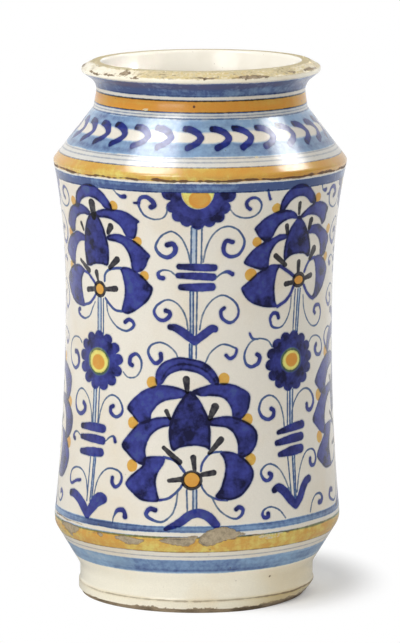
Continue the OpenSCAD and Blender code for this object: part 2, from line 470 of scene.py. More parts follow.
def shape_cover(points, a, z):
    """Depth inside a closed outline: the distance to its nearest edge, and less than nothing where a
    level line from the place crosses the outline an even number of times."""
    start, end = points[:, :2], np.roll(points[:, :2], -1, 0)
    run = end - start
    gap = along_runs(start, run, a, z)[1].min(-1)
    da, dz = a[..., None] - start[:, 0], z[..., None] - start[:, 1]
    spans = (start[:, 1] > z[..., None]) != (end[:, 1] > z[..., None])
    crossing = da < run[:, 0] * dz / np.where(run[:, 1] == 0, TINY, run[:, 1])
    inside = (spans & crossing).sum(-1) % 2 == 1
    return np.where(inside, gap, -gap)


def disc_cover(centre, radii, a, z):
    """Depth inside an ellipse: one less the distance in radii, times the smaller radius."""
    return (1 - np.hypot((a - centre[0]) / radii[0], (z - centre[1]) / radii[1])) * min(radii)


class Stroke:
    """One touch of the brush: its layer, its kind, its points and how much pigment it carries. The margin
    is how far past its edge, in mm, it is worked out."""

    MARGIN = 1.2

    def __init__(self, layer, kind, points, load=1.0, radii=None, ceiling=TALL):
        self.layer, self.kind, self.load, self.radii, self.ceiling = layer, kind, load, radii, ceiling
        self.points = np.asarray(points, float)
        reach = max(radii) if radii else 0 if kind == "shape" else self.points[:, 2].max()
        self.low = self.points[:, :2].min(0) - reach - self.MARGIN
        self.high = self.points[:, :2].max(0) + reach + self.MARGIN

    def cover(self, a, z):
        """Depth inside the stroke, and its load, at each place."""
        if self.kind in ("path", "vein"):
            return path_cover(self.points, a, z)
        if self.kind == "shape":
            return shape_cover(self.points, a, z), self.load
        return np.minimum(disc_cover(self.points[0], self.radii, a, z), self.ceiling - z), self.load


class Canvas:
    """The grid of one piece, with a layer of depth and one of load for each pigment."""

    def __init__(self, turn, heights):
        self.arc = turn * PAINT_R
        self.heights = heights
        shape = (len(turn), len(heights))
        self.layers = {}
        for name in LAYERS:
            self.layers[name] = np.full(shape, UNPAINTED)
            self.layers[name + "_load"] = np.zeros(shape)

    def lay(self, name, place, depth, load):
        """Puts paint down where it lies deeper than what is there. Gold also takes the tone of what came
        last."""
        old, old_load = self.layers[name][place], self.layers[name + "_load"][place]
        share = np.where(depth > old, 1.0, eased(depth + 0.5) if name == "gold" else 0.0)
        self.layers[name][place] = np.maximum(depth, old)
        self.layers[name + "_load"][place] = old_load + share * (load - old_load)

    def stroke(self, stroke):
        """Lays one stroke on the part of the grid that it reaches. Pools and veins only thicken the paint
        there, and a leaf is thicker along its own edge and where it lies over paint."""
        middle = (stroke.low[0] + stroke.high[0]) / 2
        arc = middle + (self.arc - middle + ROUND_JAR / 2) % ROUND_JAR - ROUND_JAR / 2
        columns = np.nonzero((arc > stroke.low[0]) & (arc < stroke.high[0]))[0]
        rows = np.nonzero((self.heights > stroke.low[1]) & (self.heights < stroke.high[1]))[0]
        if len(columns) == 0 or len(rows) == 0:
            return
        place = np.ix_(columns, rows)
        a, z = np.broadcast_arrays(arc[columns][:, None], self.heights[rows][None, :])
        depth, load = stroke.cover(a, z)
        under = self.layers[stroke.layer][place]
        added = self.layers[stroke.layer + "_load"]
        if stroke.kind == "pool":
            ragged = streaks(self.arc[columns], self.heights[rows] / 2.2, 217, 300, 91) - 0.5
            added[place] += load * eased(1.6 * depth / min(stroke.radii) + ragged)
        elif stroke.kind == "vein":
            added[place] += load * eased(0.5 + depth)
        else:
            self.lay(stroke.layer, place, depth, load)
        if stroke.kind == "shape" and stroke.layer == "cobalt":
            added[place] += 0.2 * eased(np.minimum(depth, under) / 0.7)
            heavy = 0.06 + 0.26 * streaks(self.arc[columns], self.heights[rows] / 7, 70, 100, 92)
            added[place] += heavy * eased((depth + 0.2) / 0.4) * eased((1.8 - depth) / 1.2)

    def band(self, name, low, high, load, ragged, seed):
        """Lays a ring of paint between two heights, its edges wandering and its load streaked along the
        turn, on a piece that comes near it."""
        near = 3
        if high < self.heights[0] - near or low > self.heights[-1] + near:
            return
        edge = ragged * (streaks(self.arc, np.zeros(1), 34, 1, seed) - 0.5)
        z = self.heights[None, :]
        depth = np.minimum(z - low - edge, high + edge[::-1] - z)
        sweep = streaks(self.arc, np.zeros(1), 9, 1, seed + 3) - 0.5
        drag = streaks(self.arc, self.heights / 1.6, 9, 300, seed + 1) - 0.5
        fine = streaks(self.arc, self.heights / 0.6, 23, 700, seed + 2) - 0.5
        broad = eased((high - low) / 3)
        self.lay(name, EVERYWHERE, depth, load * (1 + 0.3 * sweep + broad * (0.4 * drag + 0.12 * fine)))


def streaks(arc, levels, cells, rows, seed):
    """Smooth random values from 0 to 1: a table of that many cells round the jar by that many rows,
    eased between its places."""
    table = np.random.default_rng(seed).random((cells, rows + 1))
    u = (arc / ROUND_JAR % 1) * cells
    i, j = np.floor(u).astype(int), np.floor(levels).astype(int) % rows
    s, t = eased(u - np.floor(u))[:, None], eased(levels - np.floor(levels))[None, :]
    left, right = table[i % cells], table[(i + 1) % cells]
    low = left[:, j] * (1 - s) + right[:, j] * s
    high = left[:, j + 1] * (1 - s) + right[:, j + 1] * s
    return low * (1 - t) + high * t


class Brush:
    """Draws a motif in its own place on the wall, or carried to another column and turned over, lifted or
    swayed there."""

    def __init__(self, strokes, axis=0.0, centre=0.0, lift=0.0, flip=1, sway=0.0):
        self.strokes = strokes
        self.axis, self.centre, self.lift, self.flip, self.sway = axis, centre, lift, flip, sway

    def carried(self, points):
        """Points moved from the motif's axis to the column, swayed by slow waves if it is a repeat."""
        p = np.array(points, float)
        arc = self.flip * (p[:, 0] - self.axis)
        p[:, 0] = self.centre + arc + self.sway * np.sin(p[:, 1] / 29 + self.centre)
        p[:, 1] += self.lift + self.sway * np.sin(arc / 19 + self.centre)
        return p

    def add(self, *parts, **named):
        """Keeps one more stroke."""
        self.strokes.append(Stroke(*parts, **named))

    def path(self, layer, points, halves, loads):
        """A brush path through the points; half widths and loads are spread evenly along it."""
        along = np.linspace(0, 1, len(points))
        half = np.interp(along, np.linspace(0, 1, len(halves)), halves)
        load = np.interp(along, np.linspace(0, 1, len(loads)), loads)
        self.add(layer, "path", spline(np.column_stack((self.carried(points), half, load))))

    def leaf(self, *points, load=0.72):
        """A filled leaf of blue with this outline."""
        self.add("cobalt", "shape", spline(self.carried(points), closed=True, per_span=4), load=load)

    def line(self, *points, half=0.5, load=0.44):
        """A fine blue line."""
        self.path("cobalt", points, (half, half), (load, load))

    def curl(self, *points, thick=1.2):
        """A fine line that swells into a dark hook."""
        thin = 0.5
        self.path("cobalt", points, (thin, thin, thin * 1.15, thick * 0.75, thick, thick * 1.05),
                  (0.4, 0.42, 0.48, 0.64, 0.72, 0.86))

    def bar(self, *points, halves=(1.5, 2.0, 2.2), loads=(0.95, 0.76, 0.7, 0.76)):
        """A broad short stroke, darkest where the brush went down."""
        self.path("cobalt", points, halves, loads)

    def dabs(self, *dabs):
        """Dark stamens: start, end, and the half widths that each swells from and to."""
        for start, end, thin, thick in dabs:
            self.path("dark", (start, end), (thin, thick), (1, 1))

    def dots(self, *places, radius=2.8, tall=1.0):
        """Spots of yellow."""
        for arc, height in places:
            self.disc("gold", arc, height, radius, radius * tall, 0.6)

    def disc(self, layer, arc, height, wide, tall, load, ceiling=TALL):
        """An ellipse of one pigment, which stops at the ceiling."""
        middle = self.carried([(arc, height)])
        self.add(layer, "disc", middle, load=load, radii=(wide, tall), ceiling=ceiling)

    def eye(self, arc, height, wide, tall, tone, halo=0.0):
        """A round of yellow that the dark pigments keep clear of. A halo is the width by which the yellow
        has run out over the blue, which lies thinner there, so that it shows green."""
        self.disc("clear", arc, height, wide - 0.6, tall - 0.6, 1)
        self.disc("gold", arc, height, wide + halo, tall + halo, tone)
        if halo:
            turn = np.linspace(0, 2 * np.pi, 17)
            rim = np.stack((arc + (wide + 0.2) * np.cos(turn), height + (tall + 0.2) * np.sin(turn)), -1)
            self.vein("cobalt", (-0.32, -0.38, -0.36, -0.28, -0.32), 0.8, *rim)

    def pools(self, amount, *spots):
        """Places (arc, height, reach) where the blue lies thicker, or thinner for a negative amount."""
        for arc, height, reach in spots:
            self.add("cobalt", "pool", self.carried([(arc, height)]), load=amount, radii=(reach, reach))

    def vein(self, layer, amounts, half, *points):
        """A path along which the paint lies thicker, or thinner for negative amounts."""
        self.path(layer, points, (half, half), amounts)
        self.strokes[-1].kind = "vein"

    def stem(self, top, bottom, *lines, pale=()):
        """Upright fine lines between two heights, given by their arcs above and below, over a pale wash."""
        middle = (top + bottom) / 2
        for upper, lower in lines:
            self.line((upper, top), ((upper + lower) / 2, middle), (lower, bottom), load=0.46)
        if pale:
            points = ((pale[0], top), (sum(pale) / 2, middle), (pale[1], bottom))
            self.path("wash", points, (1.0, 1.0), (0.35, 0.3))

    def rosette(self, arc, height, wide, tall, lobes, start, load):
        """A core with round petals set evenly about it, the first at an angle in degrees."""
        self.disc("cobalt", arc, height, wide * 0.8, tall * 0.8, load)
        for angle in np.radians(start + 360 / lobes * np.arange(lobes)):
            petal_arc = arc + wide * 0.83 * np.cos(angle)
            petal_height = height + tall * 0.83 * np.sin(angle)
            self.disc("cobalt", petal_arc, petal_height, wide * 0.205, tall * 0.19, load + 0.06)


# Motifs of the field, in mm of arc and height as they stand on the front of the jar


def low_palmette(b):
    """The palmette of a low column: an arch, three pairs of petals, a middle leaf, stamens and an eye."""
    b.leaf((-23.5, 129), (-24, 135), (-21, 140.5), (-16, 143.4), (-10, 144.7), (-3, 143.7), (3, 142),
           (8, 138), (11.3, 132.5), (11, 129), (6.5, 130.2), (5, 132), (0, 135.5), (-8, 137.3), (-13, 136.2),
           (-17, 134), (-20, 129.5))
    b.leaf((-6, 125.6), (-12, 128), (-20, 129), (-28, 127), (-35, 122.5), (-41, 115.5), (-38, 111.5),
           (-33, 107), (-27, 108), (-25.8, 113), (-22, 118), (-17, 120.5), (-11, 121.5), (-7, 122.5))
    b.leaf((-3.5, 125.7), (3, 128.5), (10, 130), (18, 129.5), (24, 127), (29, 123.3), (29.2, 118),
           (27.5, 113), (24, 109.5), (19.5, 109.8), (18.5, 115), (16.5, 119), (13, 122), (7, 123), (1, 123),
           load=0.76)
    b.leaf((-14.5, 111), (-22, 111), (-27, 109.5), (-34, 106.5), (-40, 100), (-44, 94), (-40, 89.5),
           (-35, 85.5), (-30, 84), (-28.5, 88), (-29, 93), (-27, 99), (-23.5, 103), (-19, 105.5),
           (-14.5, 106.7))
    b.leaf((6, 110), (12, 111.5), (18, 111.5), (24, 109.5), (30, 106), (33.5, 101), (33, 95), (30, 90.5),
           (27, 88.5), (23.5, 87.5), (22, 90), (22, 95), (20.5, 100), (18, 103.5), (14, 105.5), (6.5, 106.7),
           load=0.8)
    b.leaf((-29.5, 88), (-24, 89.3), (-18, 89), (-18.5, 85), (-21.5, 80), (-22.5, 75), (-21.5, 69),
           (-20.5, 64.6), (-25, 63.8), (-31, 64.5), (-36, 68), (-40.5, 72.5), (-38, 77), (-33, 81.5),
           (-30.5, 84))
    b.leaf((12, 91.5), (15, 92.2), (21, 90.7), (27, 86.5), (31, 80), (29.5, 73.5), (24, 67), (18, 64.8),
           (13, 65.4), (9.5, 67.3), (12, 71), (14, 77), (15, 83), (14, 88), load=0.78)
    b.leaf((-4.7, 126), (-9, 121.5), (-13, 115), (-15.5, 108), (-16, 101), (-15, 95), (-13, 92.5),
           (-10, 94.2), (-5, 95.3), (0, 95.4), (4, 94.5), (6.5, 93), (7, 98), (7, 104), (6, 110), (3.5, 116),
           (0, 122), load=0.9)
    b.vein("cobalt", (0.22, 0.22), 0.5, (-20.5, 132), (-16, 138.5), (-9, 140.8), (-1, 139.6), (5, 136.3),
           (9, 131.5))
    b.line((-18.5, 89), (-12, 87), (-7, 81), half=0.8, load=0.62)
    b.line((-20.5, 65), (-15, 66.5), (-10, 71), (-8, 74), half=0.7, load=0.55)
    b.line((13, 92), (8, 91.5), (5, 89.5), (2.5, 85.5), (1.8, 81.5), half=0.65, load=0.55)
    b.line((16, 64.8), (11, 65.5), (6, 68), (3, 71.5), (2, 74), half=0.6, load=0.5)
    b.pools(0.17, (-29, 108, 5), (-29, 85.6, 5), (-31, 67, 6), (-20, 66, 3), (12, 67.5, 4), (-6, 104.5, 3.5),
            (-4.5, 101, 3), (-10, 98, 3.5), (22, 110, 4), (25, 88, 4), (-24, 75, 6), (10.5, 132, 3),
            (-1, 124, 4), (-14, 109, 3), (6, 110, 3), (4, 139, 3.5), (-9, 141, 3), (-41, 94, 3),
            (-39, 115, 3), (22, 74, 5))
    b.pools(-0.08, (-30, 120, 5), (20, 124, 5), (-33, 99, 5), (27, 102, 5), (18, 83, 5), (-18, 140, 4),
            (0, 118, 4), (-22, 123, 4), (9, 127, 3.5), (3, 103, 4))
    b.dabs(((-6, 125.5), (-6.7, 132.3), 1.2, 2.1), ((-15.5, 110.5), (-17.5, 114.5), 1.0, 1.3),
           ((6.5, 110.5), (9.3, 117), 1.3, 2.3), ((-10, 86.5), (-18.6, 94.2), 1.8, 1.2),
           ((6.5, 91.5), (12.6, 98.6), 1.2, 1.9), ((-1.5, 81.5), (-2.3, 89), 1.0, 1.7),
           ((-8.5, 77), (-15.3, 76), 1.6, 1.2), ((2.5, 79.5), (8.6, 80.4), 1.4, 1.7))
    b.disc("dark", -3, 76.4, 5.8, 5.6, 1)
    b.eye(-3, 76.6, 4.6, 4.5, 0.85)
    b.dots((-26, 130), (14.2, 132.3), (-37, 107), (27.6, 109), (-36.8, 83.2), (29.2, 86.7), radius=3.2,
           tall=1.1)


def low_base(b, lift):
    """What stands under the low palmette: stems up to it, an arched leaf on the border and two curls."""
    b.stem(71 + lift, 59, (-5.7, -5.2), (-2.3, -2.2), (-0.4, -0.2), pale=(-1.2, -1.2))
    b.bar((-16.5, 49.3), (-9, 53), (-4, 57), (1, 58.2), (6, 56), (10, 51.5),
          halves=(1.2, 2.3, 2.4, 2.5, 2.6, 2.2), loads=(0.95, 0.66, 0.7, 0.68, 0.8))
    b.curl((-10.5, 69.5 + lift), (-11.5, 62 + lift / 2), (-14, 56.5), (-19, 53), (-25, 54.5), (-27.5, 57),
           (-25.5, 60), (-22.5, 59.5), thick=1.3)
    b.curl((8, 66.5 + lift), (11, 60.5 + lift / 2), (16, 56), (20.5, 54.3), (23.5, 56), (24.6, 59),
           (22.5, 60.6), (20.8, 59.6))


def low_top(b):
    """What stands over the low palmette: half a rosette under the border, stems, bars, a forked leaf and
    curls."""
    ceiling = 236.5
    b.disc("cobalt", -0.5, 236.5, 15.5, 16.0, 0.74, ceiling)
    for arc, height, radius in (
        (-16, 236, 4.0), (-14.2, 228.3, 3.4), (-11.5, 223.5, 3.4), (-7, 220.8, 3.4), (-1, 219.6, 3.8),
        (5, 220.6, 3.4), (9.8, 223, 3.4), (12.6, 228, 3.6), (15, 234.8, 3.8), (9, 236.5, 4.0),
    ):
        b.disc("cobalt", arc, height, radius, radius, 0.82, ceiling)
    b.pools(0.15, (-14, 233, 5), (8, 223, 5), (13, 235, 4), (-2, 219, 4))
    b.disc("clear", -1.2, 237, 8.6, 9.8, 1)
    b.disc("gold", -1.2, 237, 8.4, 9.6, 0.12, ceiling)
    b.disc("gold", 0, 232.6, 5.6, 5.0, 1.15, ceiling)
    b.disc("gold", -0.2, 232.8, 4.4, 3.7, 0.8, ceiling)
    b.stem(217, 197, (-4.4, -4.6), (-1.6, -1.8), (1.2, 1.0), pale=(-3.0, -3.2))
    b.curl((-5, 197.5), (-6.5, 204), (-9.5, 210.5), (-13.5, 214), (-16.5, 214.3), (-21, 211.5), (-23.8, 207),
           (-23.7, 204), (-21, 201), (-17.5, 200), (-14, 202), (-13, 205), (-14.5, 207.5), (-17.5, 207),
           thick=1.4)
    b.curl((2, 197.5), (3.5, 205), (6.5, 212), (11, 216.3), (16, 217.3), (21, 215), (24.3, 210),
           (24.2, 205.5), (21.5, 201.5), (17.5, 200.3), (14, 202), (13, 205.5), (14.5, 209.2), (18, 208.5))
    b.bar((-11, 195), (0, 194.6), (8, 194.4), halves=(1.6, 2.1, 2.0))
    b.bar((-11.5, 190), (0, 189.7), (7.5, 189.2), halves=(1.6, 2.1, 2.1))
    b.bar((-10, 183.6), (0, 183.5), (7, 183.7), halves=(1.7, 2.4, 2.2))
    b.curl((-13, 190), (-16, 192.3), (-20, 192.8), (-22.8, 191), (-22, 188.7), (-20, 188.3), thick=1.25)
    b.curl((9, 188.5), (12, 191), (15.5, 192), (18.3, 190.6))
    b.stem(181, 157, (-5, -4.6), (-3.2, -3.0), (-1.1, -1.3), pale=(-4.1, -3.8))
    b.curl((-6, 160), (-7, 166), (-9.5, 171.5), (-13.5, 175.3), (-18, 176.3), (-23, 173.5), (-25.3, 169.5),
           (-23, 165.8), (-19.5, 164.8), (-16.5, 167), (-16.3, 169.3), (-18.5, 170.3))
    b.curl((0.5, 160), (2, 168), (5.5, 174.5), (10, 178.2), (14, 178.8), (19, 176), (22, 171.5), (21.8, 167),
           (19, 164), (16, 163.8), (12.8, 166.5), (12.2, 170), (14, 171.8), thick=1.0)
    b.bar((-16, 161.3), (-12, 160.5), (-6, 156.5), (-2, 153.5), halves=(1.6, 2.2, 2.4, 2.2),
          loads=(0.95, 0.72, 0.76))
    b.bar((-2, 153.5), (3, 157.5), (7, 160.3), (8.8, 160.2), halves=(2.2, 2.3, 2.3, 2.0),
          loads=(0.76, 0.74, 0.8))
    b.stem(152, 144, (-5.1, -5.0), (-3.7, -3.7), (-1.3, -1.3), pale=(-4.4, -4.3))
    b.curl((-11.5, 144.5), (-13, 147.5), (-17, 151), (-22, 152.5), (-27, 150.5), (-28.5, 146.5), (-26, 142),
           (-23.5, 140.8), (-21, 143), (-21.2, 146.2))
    b.curl((4, 142), (6.5, 147), (11, 150.8), (15, 151.5), (20, 149.5), (21.3, 148.2), (20.3, 145),
           (17.5, 143.5), (15.3, 145.5), thick=0.95)
    b.curl((-17.5, 228), (-17.5, 225), (-20, 221.8), (-25, 221), (-30, 223), (-32.5, 227), (-32.8, 230),
           (-31.5, 232.6), (-28.5, 233.3), (-25.3, 231.3), (-24.2, 228.8), (-26, 227.7), thick=1.35)
    b.bar((-32.8, 230), (-34, 229.6), (-35.6, 229.6), halves=(1.0, 0.5), loads=(0.8, 0.9))
    b.curl((15.5, 227.5), (19, 223.5), (24, 221.8), (29, 222.3), (32.5, 225), (33.3, 229), (31, 232.3),
           (27.5, 232.8), (25, 230.8), (25.2, 228.2), (27, 226.5), thick=1.0)


def high_palmette(b):
    """The palmette of the high column to the left of the front."""
    b.leaf((-80, 223), (-79.5, 226.8), (-77.7, 231.4), (-73.6, 235), (-68.6, 237.3), (-63.6, 237.7),
           (-59.1, 236.4), (-54.5, 233.2), (-51.4, 229.5), (-49.7, 226.4), (-50.2, 223.8), (-55, 225.2),
           (-57.3, 227.3), (-60.9, 229.4), (-65.5, 230.3), (-70, 229.5), (-73.2, 227.7), (-75, 225.6),
           (-76.4, 223.6))
    b.leaf((-66.5, 221.8), (-70, 224.3), (-74.5, 225.5), (-79, 225), (-83.6, 223.6), (-88.2, 221),
           (-91.4, 216.8), (-93.2, 213.2), (-91, 210.5), (-87.7, 208.2), (-83.8, 209.2), (-82.7, 213.2),
           (-80.5, 216.8), (-76.4, 219.1), (-71.8, 220), (-68.5, 219.6))
    b.leaf((-62.5, 221.8), (-59.1, 223.6), (-54.5, 224.8), (-49.1, 225), (-43.6, 224.8), (-39.5, 223.6),
           (-36.4, 221.8), (-33, 219.3), (-34.3, 217.7), (-34.5, 214), (-36.4, 209.5), (-41, 210),
           (-42.6, 211.8), (-44.5, 215), (-47.7, 217.7), (-51.8, 219.3), (-56.4, 219.6), (-60.5, 219.4))
    b.leaf((-72.8, 207.7), (-77.3, 209.1), (-81.8, 209.5), (-86.4, 207.7), (-90.9, 205.9), (-95.5, 202.3),
           (-99.5, 196.8), (-95.5, 193.2), (-90.9, 190.5), (-86.6, 190), (-85.9, 193.2), (-84.5, 197.7),
           (-81.8, 201.8), (-78.2, 204.1), (-73.2, 205))
    b.leaf((-54.5, 209.5), (-50.9, 210.9), (-46.4, 211.4), (-40.9, 210), (-36.4, 208.2), (-32.3, 205.5),
           (-30, 203.2), (-27.3, 200.5), (-28.6, 197.7), (-30, 194.1), (-32.7, 191.4), (-37, 190.5),
           (-38.6, 192.7), (-39.5, 197.7), (-41.4, 202.3), (-44.5, 205.5), (-49.1, 206.8), (-54, 207.3))
    b.leaf((-75.2, 188), (-78.2, 190), (-81.8, 190.6), (-86.4, 190), (-90.9, 188.6), (-94.5, 186.4),
           (-99.1, 181.4), (-97.3, 175.9), (-92.7, 171.4), (-87.3, 168.6), (-81.8, 167.7), (-76.4, 167.7),
           (-76.2, 170), (-77.7, 174.1), (-78.9, 179.5), (-78.2, 184.1))
    b.leaf((-46.4, 192.3), (-41.8, 193.2), (-36.4, 191.4), (-31.8, 188.6), (-28.2, 185), (-25.9, 182.3),
           (-27.3, 177.7), (-30, 174.1), (-34.5, 170.5), (-38.2, 168.2), (-41.8, 167), (-45.5, 168.2),
           (-45, 171.4), (-43.6, 176.8), (-43.5, 182.3), (-44.5, 186.8), (-45.5, 190))
    b.leaf((-64.5, 222), (-67.7, 220), (-70.5, 216.4), (-72.3, 212.3), (-73.6, 206.8), (-74.3, 200.5),
           (-73.6, 195), (-72.7, 191.5), (-69.1, 191.3), (-65.5, 192.7), (-60, 193.2), (-55, 193),
           (-53.8, 197.7), (-53.8, 203.2), (-55, 208.6), (-56.8, 214.1), (-59.1, 218.6), (-61.8, 221.5),
           load=0.84)
    b.line((-76, 187.7), (-71.8, 186.8), (-68.2, 184.1), (-65, 181.4), half=0.85, load=0.7)
    b.line((-76.6, 168.6), (-70.9, 170.3), (-67.3, 173.2), (-64.5, 176.8), half=0.8, load=0.62)
    b.line((-45.5, 192.3), (-50, 191.8), (-54.5, 190.5), (-57.3, 187.7), (-57.7, 184.1), half=0.8, load=0.58)
    b.line((-45.5, 168.2), (-50, 168.6), (-53.6, 170.9), (-57.3, 174.5), half=0.75, load=0.55)
    b.pools(0.17, (-88, 209, 4), (-66, 203, 4), (-72, 193, 4), (-31, 200, 4), (-33, 190, 4), (-29, 183, 4),
            (-88, 190, 4), (-85, 174, 6), (-63, 221, 4), (-50, 226, 3), (-79, 225, 3.5), (-70, 210, 3),
            (-58, 201, 3), (-40, 169, 4), (-55, 211, 3), (-95, 182, 5))
    b.pools(-0.08, (-68, 235, 4), (-48, 222, 5), (-84, 216, 5), (-45, 208, 4), (-40, 180, 5), (-60, 214, 4),
            (-41, 188, 4), (-85, 202, 4), (-66, 198, 3))
    b.dabs(((-63.8, 219.5), (-64.4, 226.8), 2.0, 2.7), ((-74.1, 210.9), (-76, 214.6), 0.9, 1.2),
           ((-53.6, 211.6), (-51.6, 215), 1.4, 2.1), ((-70.9, 188.6), (-79.2, 193.4), 1.7, 1.1),
           ((-53.6, 191.8), (-48.2, 196.8), 1.3, 2.0), ((-63.2, 184.5), (-64.2, 188.2), 1.0, 1.7),
           ((-65.9, 178.8), (-72.3, 177.7), 1.4, 1.6), ((-56.8, 179.5), (-49.6, 180.4), 1.2, 1.8))
    b.disc("dark", -61.8, 179.1, 5.0, 4.8, 1)
    b.eye(-61.8, 179.1, 3.6, 3.5, 0.78)
    b.dots((-82.2, 226.2), (-48.6, 227), (-34.8, 208), (-31, 189), (-90, 207.6), (-92, 189))


def high_stem(b):
    """What hangs under that palmette: stems, curls, a rosette, bars and a forked leaf on the border."""
    b.stem(174, 154, (-63.3, -63.4), (-60.8, -60.7), (-58.9, -58.9), pale=(-62, -62))
    b.curl((-65.9, 171.4), (-68.2, 167.7), (-70.9, 163.2), (-75.5, 161.2), (-80, 161.8), (-82.6, 163.4),
           (-82.8, 165), (-81.4, 165.7), thick=1.1)
    b.curl((-56.4, 173.2), (-55.5, 166.8), (-51.8, 161.8), (-47.3, 158.6), (-41.8, 157.7), (-37.8, 160.3),
           (-37.8, 162.6), (-40.5, 164.1), (-43.2, 162.5), thick=1.1)
    b.rosette(-62, 139.3, 17.2, 16.4, 13, 8, 0.74)
    b.pools(0.15, (-54, 146, 5), (-69, 131, 4), (-52, 133, 4), (-70, 147, 4))
    b.eye(-62.6, 138.6, 8.0, 7.0, 0.0, halo=1.0)
    b.disc("gold", -62.8, 138.2, 5.0, 4.2, 0.8)
    b.curl((-44, 134.5), (-41, 132), (-36, 132.5), (-32.8, 137), (-32.8, 142), (-35.6, 145.2),
           (-39.3, 143.5), (-39.8, 140), (-38.5, 138.9), thick=1.25)
    b.curl((-79, 147), (-82, 149.3), (-88, 149.3), (-93, 146), (-94.6, 140), (-92, 134), (-87, 131.7),
           (-82.8, 134), (-82.3, 138), (-84.5, 141), (-87, 141), thick=1.3)
    b.stem(124, 103, (-66, -66.2), (-63.7, -64), (-61.3, -61.8), pale=(-64.8, -65))
    b.curl((-67, 103), (-68, 111), (-71.5, 118), (-77, 121.5), (-82, 119.5), (-84.5, 114), (-83, 109),
           (-78.5, 107.2), (-74.3, 109.5), (-73.8, 112.3), (-75.5, 113.8), thick=1.3)
    b.curl((-61.5, 103), (-60, 111), (-57, 117.5), (-52, 121), (-47, 119.5), (-44.2, 115), (-44.7, 111.2),
           (-48.5, 109.2), (-51.8, 111), (-52.2, 113.8), (-50.5, 115), thick=1.15)
    b.bar((-76, 100.9), (-66, 101.6), (-57.5, 101.6), halves=(1.5, 2.5, 2.4))
    b.bar((-76, 94.9), (-66, 95.2), (-57.5, 94.9), halves=(1.4, 2.4, 2.3))
    b.bar((-75.5, 86.8), (-66, 87.6), (-58.5, 88.2), halves=(1.6, 2.6, 2.4))
    b.curl((-77, 95), (-81, 96.8), (-84, 96), (-85.3, 93.6), (-83.6, 92.6))
    b.curl((-55, 95), (-52.5, 97.3), (-50, 98.2), (-49, 97.6), (-48.3, 95.4), thick=1.0)
    b.stem(86, 60, (-66.6, -67.6), (-63.7, -65), (-62.2, -63.6), pale=(-63, -64.4))
    b.curl((-67.5, 64), (-69.5, 72), (-74, 76.6), (-80, 77), (-85, 74.5), (-86.3, 70), (-84.5, 67.3),
           (-79, 69.6), (-74.8, 70.6), thick=0.85)
    b.curl((-62, 64), (-60, 72), (-56, 77.8), (-51, 80.3), (-45, 79.2), (-43, 76), (-44, 72.3), (-47, 70.4),
           (-49.2, 72.5), (-49.2, 75.2), thick=1.1)
    b.bar((-84, 61.9), (-80, 62.2), (-74.5, 60), (-70, 56.4), (-66.4, 52.3),
          halves=(1.9, 2.5, 2.8, 2.9, 2.3))
    b.bar((-66.4, 52.3), (-63, 57.2), (-60, 60.8), (-57, 62.6), (-54.6, 62.8),
          halves=(2.0, 3.0, 3.6, 3.6, 2.6), loads=(0.72, 0.66, 0.74))
    b.path("cobalt",
           ((-47.5, 50.5), (-47.1, 53.6), (-45, 57.3), (-41.8, 58.2), (-40.2, 56.6), (-39.8, 54.5)),
           (0.4, 0.5, 1.1, 1.4, 1.2, 1.5), (0.4, 0.5, 0.75, 0.8, 0.9))
    b.curl((-47.5, 236), (-45.6, 234), (-43, 232.6), (-41, 232.8), thick=1.25)


